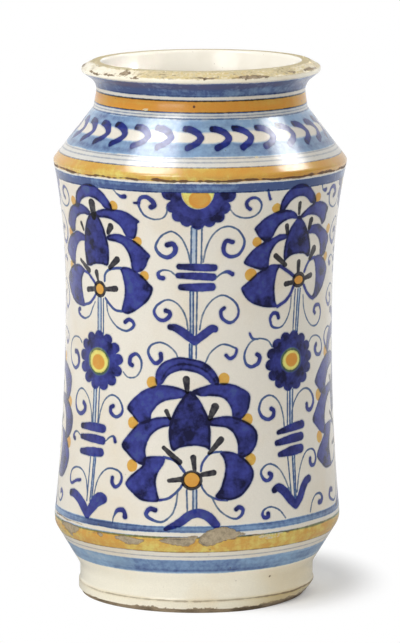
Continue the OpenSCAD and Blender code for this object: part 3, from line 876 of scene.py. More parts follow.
def right_palmette(b):
    """The palmette of the high column to the right of the front."""
    b.leaf((45.2, 223.2), (44.7, 226.8), (46.1, 231.4), (49.3, 235.5), (53.8, 238.2), (58.4, 238.8),
           (62.9, 237.3), (67.5, 234.1), (70.6, 230.5), (71.8, 226.5), (67.3, 226.8), (63.8, 229.8),
           (60.2, 231.4), (55.6, 231.3), (51.5, 229.1), (48.8, 225.5), (47.5, 223.6))
    b.leaf((58.4, 219.5), (55.6, 222.7), (51.1, 224.5), (45.6, 224.8), (40.2, 223.2), (35.6, 220.9),
           (32, 217.7), (30, 215.5), (31.1, 213.2), (33.4, 210), (37.5, 207.5), (41.3, 209.8), (42.5, 211.8),
           (44.7, 215.5), (48.4, 218.2), (52.9, 219.4), (56, 219))
    b.leaf((59.5, 220), (62.9, 222.7), (67.5, 225.5), (72, 226.8), (76.5, 226.8), (81.1, 225.5),
           (85.2, 223.2), (86.7, 221.3), (85.2, 218.6), (85, 215.5), (81, 213), (79.5, 215), (76.5, 217.7),
           (72, 219.5), (66.5, 220), (62, 219))
    b.leaf((51, 210.6), (46.5, 211.2), (42.9, 210), (38.4, 208.6), (33.8, 206.4), (29.3, 203.2),
           (26.1, 199.5), (24.7, 196.8), (26.1, 195.2), (31.1, 193.2), (35.6, 191.8), (39.8, 192.6),
           (40, 196.8), (41.1, 201.4), (43.8, 205.5), (46.5, 207.3), (50.4, 208.2))
    b.leaf((67.6, 213.4), (72.9, 214.1), (78.4, 213.6), (82, 211.4), (87.5, 208.6), (91.1, 205.9),
           (92.5, 203.2), (90.2, 199.5), (88.4, 195.9), (84, 194.4), (81.5, 195.9), (81.1, 200.5),
           (79.3, 204.5), (75.6, 207.7), (72, 209.1), (68.2, 209.5))
    b.leaf((47.6, 193.8), (42, 194.6), (38.4, 193.2), (32.9, 190.5), (28.4, 186.8), (25.6, 184.5),
           (23.4, 182.3), (25.6, 177.7), (29.3, 174.1), (34.7, 171.8), (40.2, 170.6), (46.4, 170.3),
           (45.2, 173.2), (44.3, 178.6), (44.5, 185), (45.8, 190.5))
    b.leaf((75, 195.2), (81.1, 195.9), (85.6, 194.1), (90.2, 190.5), (92.9, 185.9), (89.3, 179.5),
           (85.6, 175.9), (80.2, 172.3), (76.5, 171.6), (74.3, 172.8), (76.5, 175), (77.9, 179.5),
           (77.9, 185.9), (76.5, 191.4))
    b.leaf((58.8, 220.7), (56.5, 218.2), (53.8, 215), (51.5, 210.5), (50, 205), (49.5, 199.5), (50.4, 195.3),
           (52, 196.8), (55.6, 198.6), (61.1, 198.9), (65.6, 198.2), (69.3, 196.2), (70.8, 198.4),
           (70.6, 202.3), (69.3, 206.8), (67, 211.4), (64.3, 215.5), (61.1, 218.6), load=0.82)
    b.line((47.5, 193.2), (52, 190.5), (58, 186.5), half=1.0, load=0.8)
    b.line((46.3, 170.6), (52, 173.2), (55.6, 176.8), (57.9, 180.9), half=0.95, load=0.75)
    b.line((75.6, 195.2), (71.1, 194.1), (68.4, 191.4), (66.5, 188.2), half=0.9, load=0.68)
    b.line((66.5, 180.5), (69.3, 176.4), (72.9, 173.2), (76, 171.9), half=0.95, load=0.72)
    b.pools(0.17, (37, 208, 4), (38, 192, 4), (40, 173, 5), (33, 174, 4), (55, 205, 4), (63, 207, 5),
            (54, 200, 3), (80, 214, 5), (86, 221, 4), (70, 198, 4), (66, 212, 4), (60, 221, 4), (70, 229, 4),
            (46, 225, 3.5), (81, 175, 6), (86, 200, 5), (26, 197, 3), (32, 214, 3), (86, 187, 5))
    b.pools(-0.07, (47, 221, 4), (38, 202, 4), (36, 183, 5), (57, 236, 5), (76, 223, 4), (41, 216, 4),
            (82, 205, 4))
    b.dabs(((58.6, 221.8), (58.4, 227.5), 1.0, 1.3), ((51.3, 211.4), (50.5, 215.7), 1.2, 1.4),
           ((68.4, 212.7), (69.4, 216.9), 1.4, 1.9), ((51.1, 193.6), (44.2, 199.2), 1.4, 1.6),
           ((71.1, 195), (74.5, 200), 1.4, 2.3), ((61.3, 188.6), (61.3, 194.2), 1.3, 1.6),
           ((58.4, 183.2), (52, 182.7), 1.2, 1.6), ((66.5, 184.3), (72.6, 185.4), 1.3, 1.7))
    b.disc("dark", 62, 184.1, 5.4, 4.5, 1)
    b.eye(62, 184, 4.0, 2.9, 0.9)
    b.dots((42.6, 226.2), (73.2, 229.3), (32, 207.9), (90.4, 209.6), (89.6, 193.8))
    b.dots((29, 189.6), radius=3.6)


def right_stem(b):
    """What hangs under the right palmette."""
    b.stem(179, 154, (59.4, 58), (61.6, 60), (63.6, 61.5), pale=(62.6, 60.8))
    b.curl((56.4, 175.9), (55.6, 168.6), (53.4, 163.2), (50.2, 159.5), (46.5, 158.6), (42.9, 160),
           (41.7, 164.1), (43.4, 167), (46.3, 166.6), (47.2, 164.3), thick=1.1)
    b.curl((66.1, 175), (67, 167.7), (70.2, 160.9), (74.7, 156.8), (80.2, 156.4), (84.3, 159.5),
           (85.2, 164.1), (82.9, 167.4), (78.8, 167.4), (77.2, 165), (78.4, 163.4), thick=1.1)
    b.rosette(56.6, 139.2, 17.2, 16.6, 14, 4, 0.82)
    b.pools(0.15, (65, 146, 5), (48, 147, 4), (49, 131, 5), (64, 132, 4))
    b.eye(56.9, 139.5, 7.2, 6.2, 0.08, halo=1.2)
    b.disc("gold", 57.2, 139.7, 4.4, 3.7, 1.1)
    b.curl((43, 148.5), (40, 152.3), (34, 153.7), (29.5, 152), (26.8, 148), (25.8, 144), (27.2, 139.8),
           (30.5, 138.3), (34.2, 140), (35.2, 143.2), (33.5, 145), thick=1.15)
    b.bar((34, 153.4), (31, 153.8), (29.6, 155.4), (28.9, 157), halves=(0.5, 0.9, 0.6),
          loads=(0.5, 0.6, 0.8))
    b.curl((71, 146), (75, 150.2), (81, 150.2), (86, 147), (87.3, 142), (84.5, 139.2), (80.2, 140),
           (78.8, 143.3), (80, 145.2), thick=1.3)
    b.stem(123, 103, (53.8, 53.4), (55.6, 55.2), (57.8, 57.1), pale=(55.9, 55.5))
    b.curl((51.1, 102.7), (50.4, 109.1), (48.4, 115.5), (44.7, 120), (40.6, 121.4), (36.5, 119.3),
           (34.7, 114.5), (36.3, 110.2), (40.2, 108), (43.5, 109.5), (44, 112.4), (42.4, 113.8))
    b.curl((56.7, 102.7), (57, 110), (59.3, 116.4), (63.4, 120.7), (68.4, 122.2), (72.9, 120.3),
           (75.8, 116.4), (75.8, 112.5), (72.7, 109.5), (69.9, 110.4), (69.5, 113))
    b.bar((47, 100), (56, 101.6), (64.6, 102.4), halves=(1.3, 2.3, 2.4), loads=(0.98, 0.8, 0.78))
    b.bar((46, 94.2), (56, 95.4), (63.6, 95.8), halves=(1.7, 2.5, 2.4), loads=(1.0, 0.8, 0.78))
    b.bar((47.6, 87.6), (56, 88.6), (63, 89), halves=(1.5, 2.8, 2.6), loads=(1.0, 0.78, 0.78))
    b.stem(86, 60, (53, 55), (56.4, 57), (58.2, 57.9), pale=(57.3, 57.4))
    b.curl((53.4, 67), (50.2, 74.5), (46.5, 80), (41.5, 83), (37.5, 82), (35.4, 79.1), (36.3, 75.8),
           (38.8, 74), (41.2, 75.2), (41.6, 77.1), (40.5, 77.8))
    b.curl((59, 65), (61.1, 75.5), (64.3, 82.7), (67.9, 86.6), (72, 87.4), (75.4, 85.7), (76.7, 81.8),
           (75.3, 78.5), (72.5, 78), (71, 80), (71.1, 82), thick=1.15)
    b.bar((43.4, 68.2), (46.1, 69.3), (50.2, 66.4), (53.8, 61.8), (57.5, 58.2),
          halves=(1.8, 2.3, 2.6, 2.6, 2.4), loads=(0.98, 0.8, 0.8))
    b.bar((57.5, 58.2), (61.1, 61.8), (63.8, 66.8), (66.5, 70), (68.9, 71.1),
          halves=(2.4, 2.4, 2.4, 2.4, 2.2), loads=(0.8, 0.76, 0.88))
    b.curl((50, 51.8), (46.5, 56.4), (41.1, 59.1), (36.8, 58), (35.6, 55.5), (36.8, 53.6), (39, 53.9),
           (39, 55.6))
    b.curl((68.8, 52.3), (71.1, 57.7), (74.7, 61), (79, 61), (81.2, 58.6), (80, 56.3), (77.8, 56.2),
           thick=1.4)
    b.bar((36.5, 237), (37.2, 234.5), (38.3, 231.6), halves=(0.6, 0.8), loads=(0.5, 0.75))
    b.curl((75.6, 236.4), (77, 233.6), (79, 232.8), (80.4, 232.8))


def field_strokes():
    """All strokes of the field: eight columns, of which the three in front stand as drawn and the other
    five are carried from them, some turned over."""
    strokes = []
    low_columns = ((-3, 0, 1, 0), (116, 9, 1, 0.5), (235, 4, -1, 0.9), (-124, 2.5, 1, 0.5))
    for centre, lift, flip, sway in low_columns:
        whole = dict(axis=low_columns[0][0], centre=centre, flip=flip, sway=sway)
        low_palmette(Brush(strokes, lift=lift, **whole))
        low_base(Brush(strokes, **whole), lift)
        low_top(Brush(strokes, **whole))
    left_columns = ((-63.5, 1, 0), (175, -1, 0.8))
    right_columns = ((59, 1, 0), (-183.5, -1, 0.8))
    for columns, palmette, stem in (
        (left_columns, high_palmette, high_stem), (right_columns, right_palmette, right_stem),
    ):
        for centre, flip, sway in columns:
            brush = Brush(strokes, axis=columns[0][0], centre=centre, flip=flip, sway=sway)
            palmette(brush)
            stem(brush)
    return strokes


def shoulder_strokes():
    """The row of dark arrowheads round the shoulder, all pointing to the right."""
    strokes = []
    in_front = (-63, -48.5, -31.5, -16.5, 2, 19.5, 34, 50, 67)
    round_jar, gaps_behind = 477.5, 22
    behind = np.linspace(in_front[-1], round_jar + in_front[0], gaps_behind + 1)[1:-1]
    for number, tip in enumerate((*in_front, *behind)):
        brush = Brush(strokes, centre=tip)
        spread = 0.6 * math.sin(2.4 * number)
        brush.path("cobalt", ((-12.3, 269.4 + spread / 3), (-8, 268.9), (-3.8, 267.2), (-1.6, 264.9)),
                   (1.5, 1.75, 1.85, 1.9), (0.95, 0.78, 0.74, 0.74))
        brush.path("cobalt", ((-1.6, 264.9), (-3.4, 262.7), (-6.8, 260.9), (-9.4 + spread, 259.8)),
                   (1.9, 1.75, 1.6, 1.7), (0.74, 0.74, 0.76, 0.82))
    return strokes


def chips():
    """Glaze lost along the lower ridge, specks and scuffs, as seen in front, with a few like them behind."""
    strokes = []
    brush = Brush(strokes)

    def chip(*points):
        """A place with this outline where the glaze is gone."""
        brush.add("wear", "shape", spline(brush.carried(points), closed=True, per_span=4), load=0.75)

    def crack(*points, half=0.18):
        """A fine dark line that thins out."""
        brush.path("grime", points, (half, half * 0.6), (0.9, 0.7))

    chip((-20, 42.8), (-15, 44.4), (-9, 44.6), (-3, 45.4), (0.2, 45.2), (-0.6, 43.4), (-3, 40.8), (-8, 39.8),
         (-13, 40.6), (-17, 41.6))
    chip((0.8, 43.2), (3, 46.4), (7, 48.6), (12, 50.2), (17, 49.4), (21, 47.4), (25.6, 45.6), (22, 44.6),
         (19, 43.4), (14, 42.2), (11, 41.2), (6, 39.6), (2.4, 41))
    chip((-46, 43), (-40, 43.9), (-33, 43.3), (-28.4, 42.4), (-29.6, 41), (-33, 39.7), (-38, 39.7),
         (-42, 41.2))
    chip((-94, 43.6), (-86, 44.8), (-79, 44.6), (-72.6, 43.8), (-76, 40.8), (-79.6, 39.8), (-82.4, 36.9),
         (-86.4, 40.4))
    chip((-57.4, 43.4), (-55, 43.8), (-53.4, 42.4), (-55.6, 41.4))
    for arc, height in ((128, 43), (151, 42), (-128, 42.5), (-170, 43), (216, 42)):
        chip((arc, height), (arc + 5, height + 1.8), (arc + 13, height + 1.2), (arc + 17, height - 0.6),
             (arc + 9, height - 2.6), (arc + 3, height - 1.4))
    crack((-20, 43), (-12, 43.6), (-4, 43.4), (0.6, 43.4))
    crack((11, 41.2), (15, 42.8), (21, 43.4), (25.6, 45.6), (25.9, 46.6))
    crack((1, 43.4), (4, 40.4), (7, 39.8))
    crack((-64, 42.4), (-60, 43.2), (-57, 42.6), (-53.6, 41.2))
    crack((49, 44.6), (51, 43.6), (52, 44.2), half=0.35)
    crack((26, 44.7), (44, 44.5), (62, 44.6), (84, 44.4), half=0.28)
    crack((-104, 46.6), (-94, 46.9), (-86, 46.3), (-78, 46.8), (-70, 46.2), half=0.45)
    for arc, height, size in (
        (2, 296.4, 0.75), (-4.8, 281, 1.0), (49.8, 16.6, 0.8), (-44, 283.6, 0.3), (14.5, 258.6, 0.5),
        (36, 50.6, 0.4), (38, 49.8, 0.4), (7, 37.4, 0.5), (6.6, 34.2, 0.35), (20, 25, 0.5),
        (-21.5, 13.2, 0.3), (-57, 48.4, 0.7), (95, 280, 0.8), (-110, 15, 0.7), (150, 297, 0.8),
        (-150, 258, 0.6), (190, 120, 0.5), (-205, 90, 0.5),
    ):
        brush.disc("grime", arc, height, size, size * 0.75, 1)
    brush.disc("wear", -42, 278.4, 3.4, 0.5, 0.05)
    scatter = np.random.default_rng(11)
    for arc, height in zip(scatter.uniform(34, 46, 7), scatter.normal(43.4, 0.7, 7)):
        brush.disc("wear", arc, height, scatter.uniform(2, 4), scatter.uniform(0.35, 0.6), 0.05)
    brush.disc("wear", 32, 254.5, 0.9, 0.35, 0.05)
    specks = 140
    arcs, heights = scatter.uniform(-HALF_ROUND, HALF_ROUND, specks), scatter.uniform(8, 292, specks)
    for arc, height in zip(arcs, heights):
        size = scatter.uniform(0.14, 0.42)
        brush.disc("grime", arc, height, size, size, scatter.uniform(0.3, 0.8))
    return strokes


# Rings of paint: layer, lowest and highest height, load, and how far the edges wander, in mm
BANDS = (
    ("wash", 22.2, 30.8, 0.51, 0.5),
    ("cobalt", 32.6, 33.3, 0.2, 0.0),
    ("gold", 35.8, 44.9, 0.45, 0.4),
    ("cobalt", 35.6, 36.2, 0.22, 0.0),
    ("wash", 43.9, 45.1, 0.62, 0.5),
    ("wash", 47.2, 50.9, 0.86, 0.5),
    ("cobalt", 49.8, 50.5, 0.2, 0.0),
    ("cobalt", 47.4, 48.0, 0.16, 0.0),
    ("wash", 236.2, 241.2, 1.05, 0.3),
    ("cobalt", 236.0, 236.7, 0.4, 0.0),
    ("gold", 242.4, 249.8, 0.58, 0.3),
    ("cobalt", 249.6, 250.2, 0.34, 0.0),
    ("cobalt", 252.1, 252.8, 0.19, 0.0),
    ("cobalt", 254.1, 254.8, 0.22, 0.0),
    ("wash", 255.0, 262.2, 0.7, 0.9),
    ("wash", 267.9, 274.2, 0.53, 0.9),
    ("wash", 273.9, 277.6, 0.15, 0.2),
    ("wash", 250.2, 255.1, 0.1, 0.2),
    ("cobalt", 274.0, 274.7, 0.36, 0.0),
    ("cobalt", 275.6, 276.2, 0.26, 0.0),
    ("gold", 277.7, 284.2, 0.95, 0.3),
    ("cobalt", 277.2, 278.0, 0.5, 0.0),
    ("cobalt", 283.6, 284.5, 0.46, 0.0),
    ("wash", 286.4, 293.9, 1.1, 0.4),
    ("cobalt", 286.2, 286.9, 0.3, 0.0),
)


def paint_bands(canvas):
    """Lays the rings, then wears the upper ridge, the foot and the lip."""
    for number, (layer, low, high, load, ragged) in enumerate(BANDS):
        canvas.band(layer, low, high, load, ragged, 10 * number)
    wear_upper_ridge(canvas)
    wear_foot(canvas)
    wear_lip(canvas)


def wandering(canvas, cells, seed):
    """Wandering values about nought, one for each column."""
    return streaks(canvas.arc, np.zeros(1), cells, 1, seed) - 0.5


def from_middle(arc, middle=0.0):
    """Arc from a middle to each place, the short way round the jar."""
    return (arc - middle + HALF_ROUND) % (2 * HALF_ROUND) - HALF_ROUND


def wear_upper_ridge(canvas):
    """A dark line along the upper ridge, under its crest: dirt, and painted shade under the ridge. Glaze
    rubbed off just below it.
    """
    ridge, rubbed_height = 243.0, 242.2
    z = canvas.heights[None, :]
    sway = 0.9 * wandering(canvas, 60, 73)
    # Painted shade: the dark line under the ridge's crest stands for dirt and for the shade that falls there
    dirt = 0.55 + 0.8 * wandering(canvas, 90, 71) + 0.8 * wandering(canvas, 260, 72)
    canvas.lay("grime", EVERYWHERE, dirt - np.abs(z - ridge - sway), 0.95)
    rubbed = -0.25 + 1.6 * wandering(canvas, 50, 81) + 0.8 * wandering(canvas, 210, 82)
    canvas.lay("wear", EVERYWHERE, rubbed - np.abs(z - rubbed_height - sway), 0.3)


def wear_foot(canvas):
    """Dirt in the groove over the foot ring, clay along the foot's edge, and yellow stain up to the flare,
    all of it more on the right. There the heavier groove line and stain are also painted shade."""
    groove, ring_top, foot_top = 5.7, 5.6, 21.5
    z = canvas.heights[None, :]
    place = from_middle(canvas.arc[:, None])
    # Weight rising towards the right, the foot's shaded side: it thickens the groove line and the stain
    # there as painted shade, and raises the worn edge
    rightward = eased((place - 15) / 45) * eased((140 - place) / 40)
    half = 0.36 + 0.1 * rightward + 0.3 * wandering(canvas, 120, 74)
    dirt = half - np.abs(z - groove - 0.4 * wandering(canvas, 40, 75))
    canvas.lay("grime", EVERYWHERE, dirt, 0.55 + 0.2 * rightward)
    edge = 2.0 + rightward + 1.4 * wandering(canvas, 46, 76) + 0.6 * wandering(canvas, 170, 77)
    canvas.lay("wear", EVERYWHERE, edge - z, 0.75)
    along_groove = 0.4 * eased(1 - np.abs(z - groove - 0.2) / 1.5)
    # Painted shade: the stain on the ring is heaviest on the right, yellowing and darkening that side
    stain = np.where(z < ring_top, 0.12 + 0.75 * rightward, 0.28 * rightward) + along_groove
    canvas.lay("stain", EVERYWHERE, foot_top - z, stain)


# Brown patches along the lip: arc and height of the middle, half length and half thickness, in mm
LIP_PATCHES = (
    (-74, 296.4, 17, 0.35), (-54, 298.0, 4.5, 0.9), (-46, 296.0, 4, 0.35), (33, 296.9, 12, 0.95),
    (65, 297.8, 4.5, 0.5), (91, 297.6, 10, 0.6), (2, 297.0, 8, 0.3), (-24, 298.2, 9, 0.4),
    (128, 297.2, 8, 0.6), (171, 297.8, 6, 0.5), (214, 296.8, 12, 0.5), (-120, 297.4, 9, 0.6),
    (-163, 297.8, 7, 0.6), (-201, 296.6, 10, 0.4),
)


def wear_lip(canvas):
    """Stains the bevel of the lip, wears patches along its edges and draws dirt into them."""
    lowest, soiled, bevel, edge, inner_edge = 294, 296, 296.6, 297.5, 299.6
    if canvas.heights[-1] < lowest:
        return
    arc, z = canvas.arc, canvas.heights[None, :]
    mottle = streaks(arc, canvas.heights / 0.5, 330, 700, 78)
    blotch = streaks(arc, canvas.heights / 2.2, 90, 200, 79)
    place = from_middle(arc[:, None])
    # The bevel is paler on the left of the front and on the right, where the stain and the wear are thinned
    paler_left = eased((-30 - place) / 20) * eased((place + 150) / 40)
    paler_right = 0.5 * eased((place - 62) / 15) * eased((112 - place) / 15)
    paler = paler_left + paler_right
    stained = (0.9 + 0.8 * blotch + 1.8 * (mottle - 0.5)) * (1 - 0.85 * paler)
    canvas.lay("stain", EVERYWHERE, 1.5 * (z - bevel) * (blotch + 0.25), stained)
    rubbed = 0.9 * blotch + 0.9 * mottle - 1.05 + 0.4 * np.clip(z - edge, -6, 0.8) - 0.7 * paler
    canvas.lay("wear", EVERYWHERE, rubbed, 0.02 + 0.3 * mottle * blotch)
    canvas.lay("wear", EVERYWHERE, z - inner_edge + 0.5 * (mottle - 0.5), 0.2)
    sway, fray = 0.8 * (blotch - 0.5), 0.8 * (mottle - 0.5)
    for middle, height, half, thick in LIP_PATCHES:
        away = np.abs(from_middle(arc, middle))[:, None] / half
        patch = thick * (1 - away ** 2) - np.abs(z - height - sway) + fray
        canvas.lay("wear", EVERYWHERE, patch, 0.9)
    dirt = 1.6 * streaks(arc, canvas.heights / 0.5, 260, 900, 80) + 0.5 * blotch - 1.62
    canvas.lay("grime", EVERYWHERE, np.where(z > soiled, dirt, UNPAINTED), 0.5)


def painted(turn, heights, strokes):
    """A canvas with the rings, the chips and the given strokes on it."""
    canvas = Canvas(turn, heights)
    paint_bands(canvas)
    clear = [stroke for stroke in strokes if stroke.layer == "clear"]
    for stroke in strokes:
        if stroke.layer != "clear":
            canvas.stroke(stroke)
    for stroke in clear:
        clear_eye(canvas, stroke)
    return canvas


def clear_eye(canvas, stroke):
    """Keeps the dark pigments off an eye that is left for yellow: they end at its edge."""
    eye = Canvas(canvas.arc / PAINT_R, canvas.heights)
    eye.stroke(Stroke("gold", "disc", stroke.points, radii=stroke.radii))
    near = eye.layers["gold"] > UNPAINTED
    for name in ("cobalt", "dark"):
        canvas.layers[name][near] = np.minimum(canvas.layers[name], -eye.layers["gold"])[near]


# Materials


def put(tree, socket, value):
    """Links a socket to another one, or sets it to a plain value."""
    if isinstance(value, bpy.types.NodeSocket):
        tree.links.new(value, socket)
    else:
        socket.default_value = value


def add(tree, kind, inputs, **settings):
    """A new node with its settings and inputs."""
    node = tree.nodes.new(kind)
    for name, value in settings.items():
        setattr(node, name, value)
    for key, value in inputs.items():
        put(tree, node.inputs[key], value)
    return node


def combine(tree, operation, first, second):
    """A sum, a product or another rule of two numbers."""
    return add(tree, "ShaderNodeMath", {0: first, 1: second}, operation=operation).outputs[0]


def noise(tree, spot, scale, detail=3.0, roughness=0.55):
    """Cloudy noise from 0 to 1, with about that many lumps to the metre."""
    inputs = {"Vector": spot, "Scale": scale, "Detail": detail, "Roughness": roughness}
    return add(tree, "ShaderNodeTexNoise", inputs).outputs["Fac"]


def ramped(tree, value, low, high, out_low=0.0, out_high=1.0):
    """The value eased from one range into another."""
    inputs = {"Value": value, "From Min": low, "From Max": high, "To Min": out_low, "To Max": out_high}
    return add(tree, "ShaderNodeMapRange", inputs, interpolation_type="SMOOTHSTEP").outputs["Result"]


def mixed(tree, factor, first, second, blend="MIX"):
    """Two colours mixed by a factor."""
    node = add(tree, "ShaderNodeMix", {0: factor}, data_type="RGBA", blend_type=blend)
    for socket, value in ((node.inputs[6], first), (node.inputs[7], second)):
        put(tree, socket, value if isinstance(value, bpy.types.NodeSocket) else (*value, 1))
    return node.outputs[2]


def between(tree, factor, first, second):
    """A number between two, by a factor."""
    return add(tree, "ShaderNodeMix", {0: factor, 2: first, 3: second}, data_type="FLOAT").outputs[0]


def colour_steps(tree, value, *steps):
    """A colour that goes through the given steps of (place, colour)."""
    node = add(tree, "ShaderNodeValToRGB", {"Fac": value})
    stops = node.color_ramp.elements
    while len(stops) < len(steps):
        stops.new(1.0)
    for stop, (place, shade) in zip(stops, steps):
        stop.position = place
        stop.color = (*shade, 1)
    return node.outputs["Color"]


def layer_value(tree, name):
    """A paint layer of the piece."""
    return add(tree, "ShaderNodeAttribute", {}, attribute_name=name).outputs["Fac"]


def new_material(name):
    """A material with one shader, its tree and the Object coordinates."""
    material = bpy.data.materials.new(name)
    material.use_nodes = True
    tree = material.node_tree
    shader = tree.nodes["Principled BSDF"]
    spot = tree.nodes.new("ShaderNodeTexCoord").outputs["Object"]
    return material, tree, shader, spot


def bumped(tree, shader, height, strength, depth):
    """Fine relief on the shader's normal."""
    bump = add(tree, "ShaderNodeBump", {"Height": height, "Strength": strength, "Distance": depth})
    tree.links.new(bump.outputs["Normal"], shader.inputs["Normal"])


# Lumps to the metre in the patterns of the glaze, from the finest to the broadest
SPECKLE, GRAIN, LUMPS, GOLD_DRIFT, SWELL, BLOTCH, WASH_DRIFT, CLOUD = 2600, 1500, 420, 210, 170, 160, 75, 26
# What the brown brink of a chip, partly painted shade at the glaze's step, and what dirt with painted shade
# let through, as linear colour
BRINK, DIRT_AND_SHADE = (0.3, 0.2, 0.12), (0.2, 0.13, 0.07)


class PaintedGlaze:
    """Tin glaze with pigment in it, built up in a material. Each layer's depth, roughened by noise, gives
    its cover, and the pigments dim the ground one over another."""

    def __init__(self, name, cream):
        self.shades = bpy.context.scene.albarello_colours
        self.material, self.tree, self.shader, self.spot = new_material(name)
        self.ground = np.array(self.shades.cream if cream else self.shades.ground)
        self.grain = noise(self.tree, self.spot, GRAIN, 2)
        self.lumps = noise(self.tree, self.spot, LUMPS, 3)
        self.cloud = noise(self.tree, self.spot, CLOUD, 4)
        fine = ramped(self.tree, self.grain, 0.2, 0.8, -0.08, 0.08)
        self.edge = self.varied("ADD", fine, self.lumps, (0.2, 0.8), (-0.1, 0.1))
        warm = self.ground * np.array(self.shades.warm_ground) / np.array(self.shades.ground)
        self.base = mixed(self.tree, ramped(self.tree, self.cloud, 0.42, 0.75), self.ground, warm)
        speckle = noise(self.tree, self.spot, SPECKLE, 1)
        self.dim(1.0, ramped(self.tree, speckle, 0.3, 0.75, 0.93, 1.04))

    def varied(self, operation, value, noise_value, span, result):
        """A value with a noise worked into it, the noise eased from its span to the result."""
        return combine(self.tree, operation, value, ramped(self.tree, noise_value, *span, *result))

    def cover(self, layer, soft):
        """How fully a layer covers: nothing outside its edge, all inside."""
        depth = combine(self.tree, "ADD", layer_value(self.tree, layer), self.edge)
        return ramped(self.tree, depth, -soft, soft)

    def laid(self, layer, soft):
        """How heavily a layer lies: its cover times its load."""
        load = layer_value(self.tree, layer + "_load")
        return combine(self.tree, "MULTIPLY", self.cover(layer, soft), load)

    def over_ground(self, shade):
        """What a pigment lets through, from the colour that it shows on the ground."""
        return tuple(np.minimum(np.array(shade) / self.ground, 1))

    def dim(self, factor, through):
        """Dims the colour so far by what is let through, as far as the factor says."""
        self.base = mixed(self.tree, factor, self.base, through, "MULTIPLY")

    def tint(self, factor, load, *steps):
        """Dims the colour so far by a pigment whose colour on the ground goes by its load, in steps."""
        through = [(place, self.over_ground(shade)) for place, shade in steps]
        self.dim(factor, colour_steps(self.tree, load, *through))

    def stain(self):
        """Yellowed glaze, which on the right of the foot is also painted shade."""
        self.dim(self.laid("stain", 0.8), self.over_ground(self.shades.stain))

    def wash(self, edge):
        """Thin blue, streaked by the brush."""
        drift = noise(self.tree, self.spot, WASH_DRIFT, 5, 0.7)
        load = self.varied("MULTIPLY", self.laid("wash", edge), self.lumps, (0.25, 0.75), (0.88, 1.1))
        load = self.varied("MULTIPLY", load, drift, (0.3, 0.7), (0.84, 1.14))
        self.tint(1.0, load, (0, self.ground), (0.5, self.shades.pale_wash), (1, self.shades.strong_wash))

    def gold(self):
        """Yellow to orange, which shows only weakly through deep blue."""
        tree, shades = self.tree, self.shades
        drift = noise(tree, self.spot, GOLD_DRIFT, 5, 0.7)
        tone = self.varied("ADD", layer_value(tree, "gold_load"), self.cloud, (0.3, 0.7), (-0.1, 0.1))
        tone = self.varied("ADD", tone, drift, (0.3, 0.7), (-0.17, 0.15))
        cover, blue = self.cover("gold", 0.25), layer_value(tree, "cobalt")
        shown = self.varied("MULTIPLY", cover, blue, (0.8, 1.6), (1.0, 0.1))
        self.tint(shown, tone, (0.05, shades.lemon), (0.5, shades.yellow), (1, shades.orange))

    def cobalt(self):
        """Blue that blotches, pools and bleeds a little past its edge where it lies thick."""
        tree, shades = self.tree, self.shades
        blotch = noise(tree, self.spot, BLOTCH, 4, 0.65)
        load = layer_value(tree, "cobalt_load")
        load = self.varied("MULTIPLY", load, blotch, (0.3, 0.7), (0.86, 1.12))
        load = self.varied("MULTIPLY", load, self.lumps, (0.25, 0.75), (0.95, 1.05))
        bleed = ramped(tree, combine(tree, "ADD", layer_value(tree, "cobalt"), self.edge), -1.0, 0.1)
        bleed = self.varied("MULTIPLY", bleed, load, (0.55, 0.75), (0.0, 0.2))
        blue = combine(tree, "MAXIMUM", combine(tree, "MULTIPLY", self.cover("cobalt", 0.22), load), bleed)
        self.tint(1.0, blue, (0, self.ground), (0.44, shades.thin_cobalt), (0.68, shades.cobalt),
                  (1, shades.deep_cobalt))

    def dark(self):
        """Dark brown of the stamens."""
        inked = self.varied("MULTIPLY", self.cover("dark", 0.2), self.lumps, (0.25, 0.75), (0.92, 1.0))
        self.dim(inked, self.over_ground(self.shades.dark))

    def lost_glaze(self):
        """Clay where the glaze is lost, behind a brown brink that is partly painted shade at the glaze's
        step. Gives back how fully it is lost.
        """
        tree, shades = self.tree, self.shades
        depth = layer_value(tree, "wear")
        frayed = self.varied("ADD", depth, self.lumps, (0.25, 0.75), (-0.45, 0.45))
        frayed = self.varied("ADD", frayed, self.grain, (0.2, 0.8), (-0.15, 0.15))
        lost = ramped(tree, frayed, -0.14, 0.14)
        clay = mixed(tree, ramped(tree, self.lumps, 0.35, 0.75), shades.clay, shades.stained_clay)
        clay = mixed(tree, layer_value(tree, "wear_load"), shades.worn_clay, clay)
        clay = mixed(tree, 1.0, clay, ramped(tree, self.grain, 0.25, 0.6, 0.75, 1.05), "MULTIPLY")
        self.base = mixed(tree, lost, self.base, clay)
        # Painted shade: a dark brink along the edge of lost glaze, as the shade at its step would be
        brink = ramped(tree, combine(tree, "ABSOLUTE", frayed, 0), 0.08, 0.3, 0.6, 0.0)
        brink = self.varied("MULTIPLY", brink, layer_value(tree, "wear_load"), (0.2, 0.7), (0.0, 1.0))
        self.dim(brink, BRINK)
        return lost

    def fire(self, dulled, shine):
        """Gives the shader its colour, its fine relief, and its gloss except where it is dulled."""
        tree, shader = self.tree, self.shader
        tree.links.new(self.base, shader.inputs["Base Color"])
        gloss = ramped(tree, self.lumps, 0.2, 0.8, 0.16, 0.27)
        tree.links.new(between(tree, dulled, gloss, 0.72), shader.inputs["Roughness"])
        shader.inputs["Specular IOR Level"].default_value = shine
        grit = combine(tree, "MULTIPLY", dulled, self.grain)
        relief = combine(tree, "ADD", noise(tree, self.spot, SWELL, 2), grit)
        bumped(tree, shader, relief, 0.12, 0.0006)


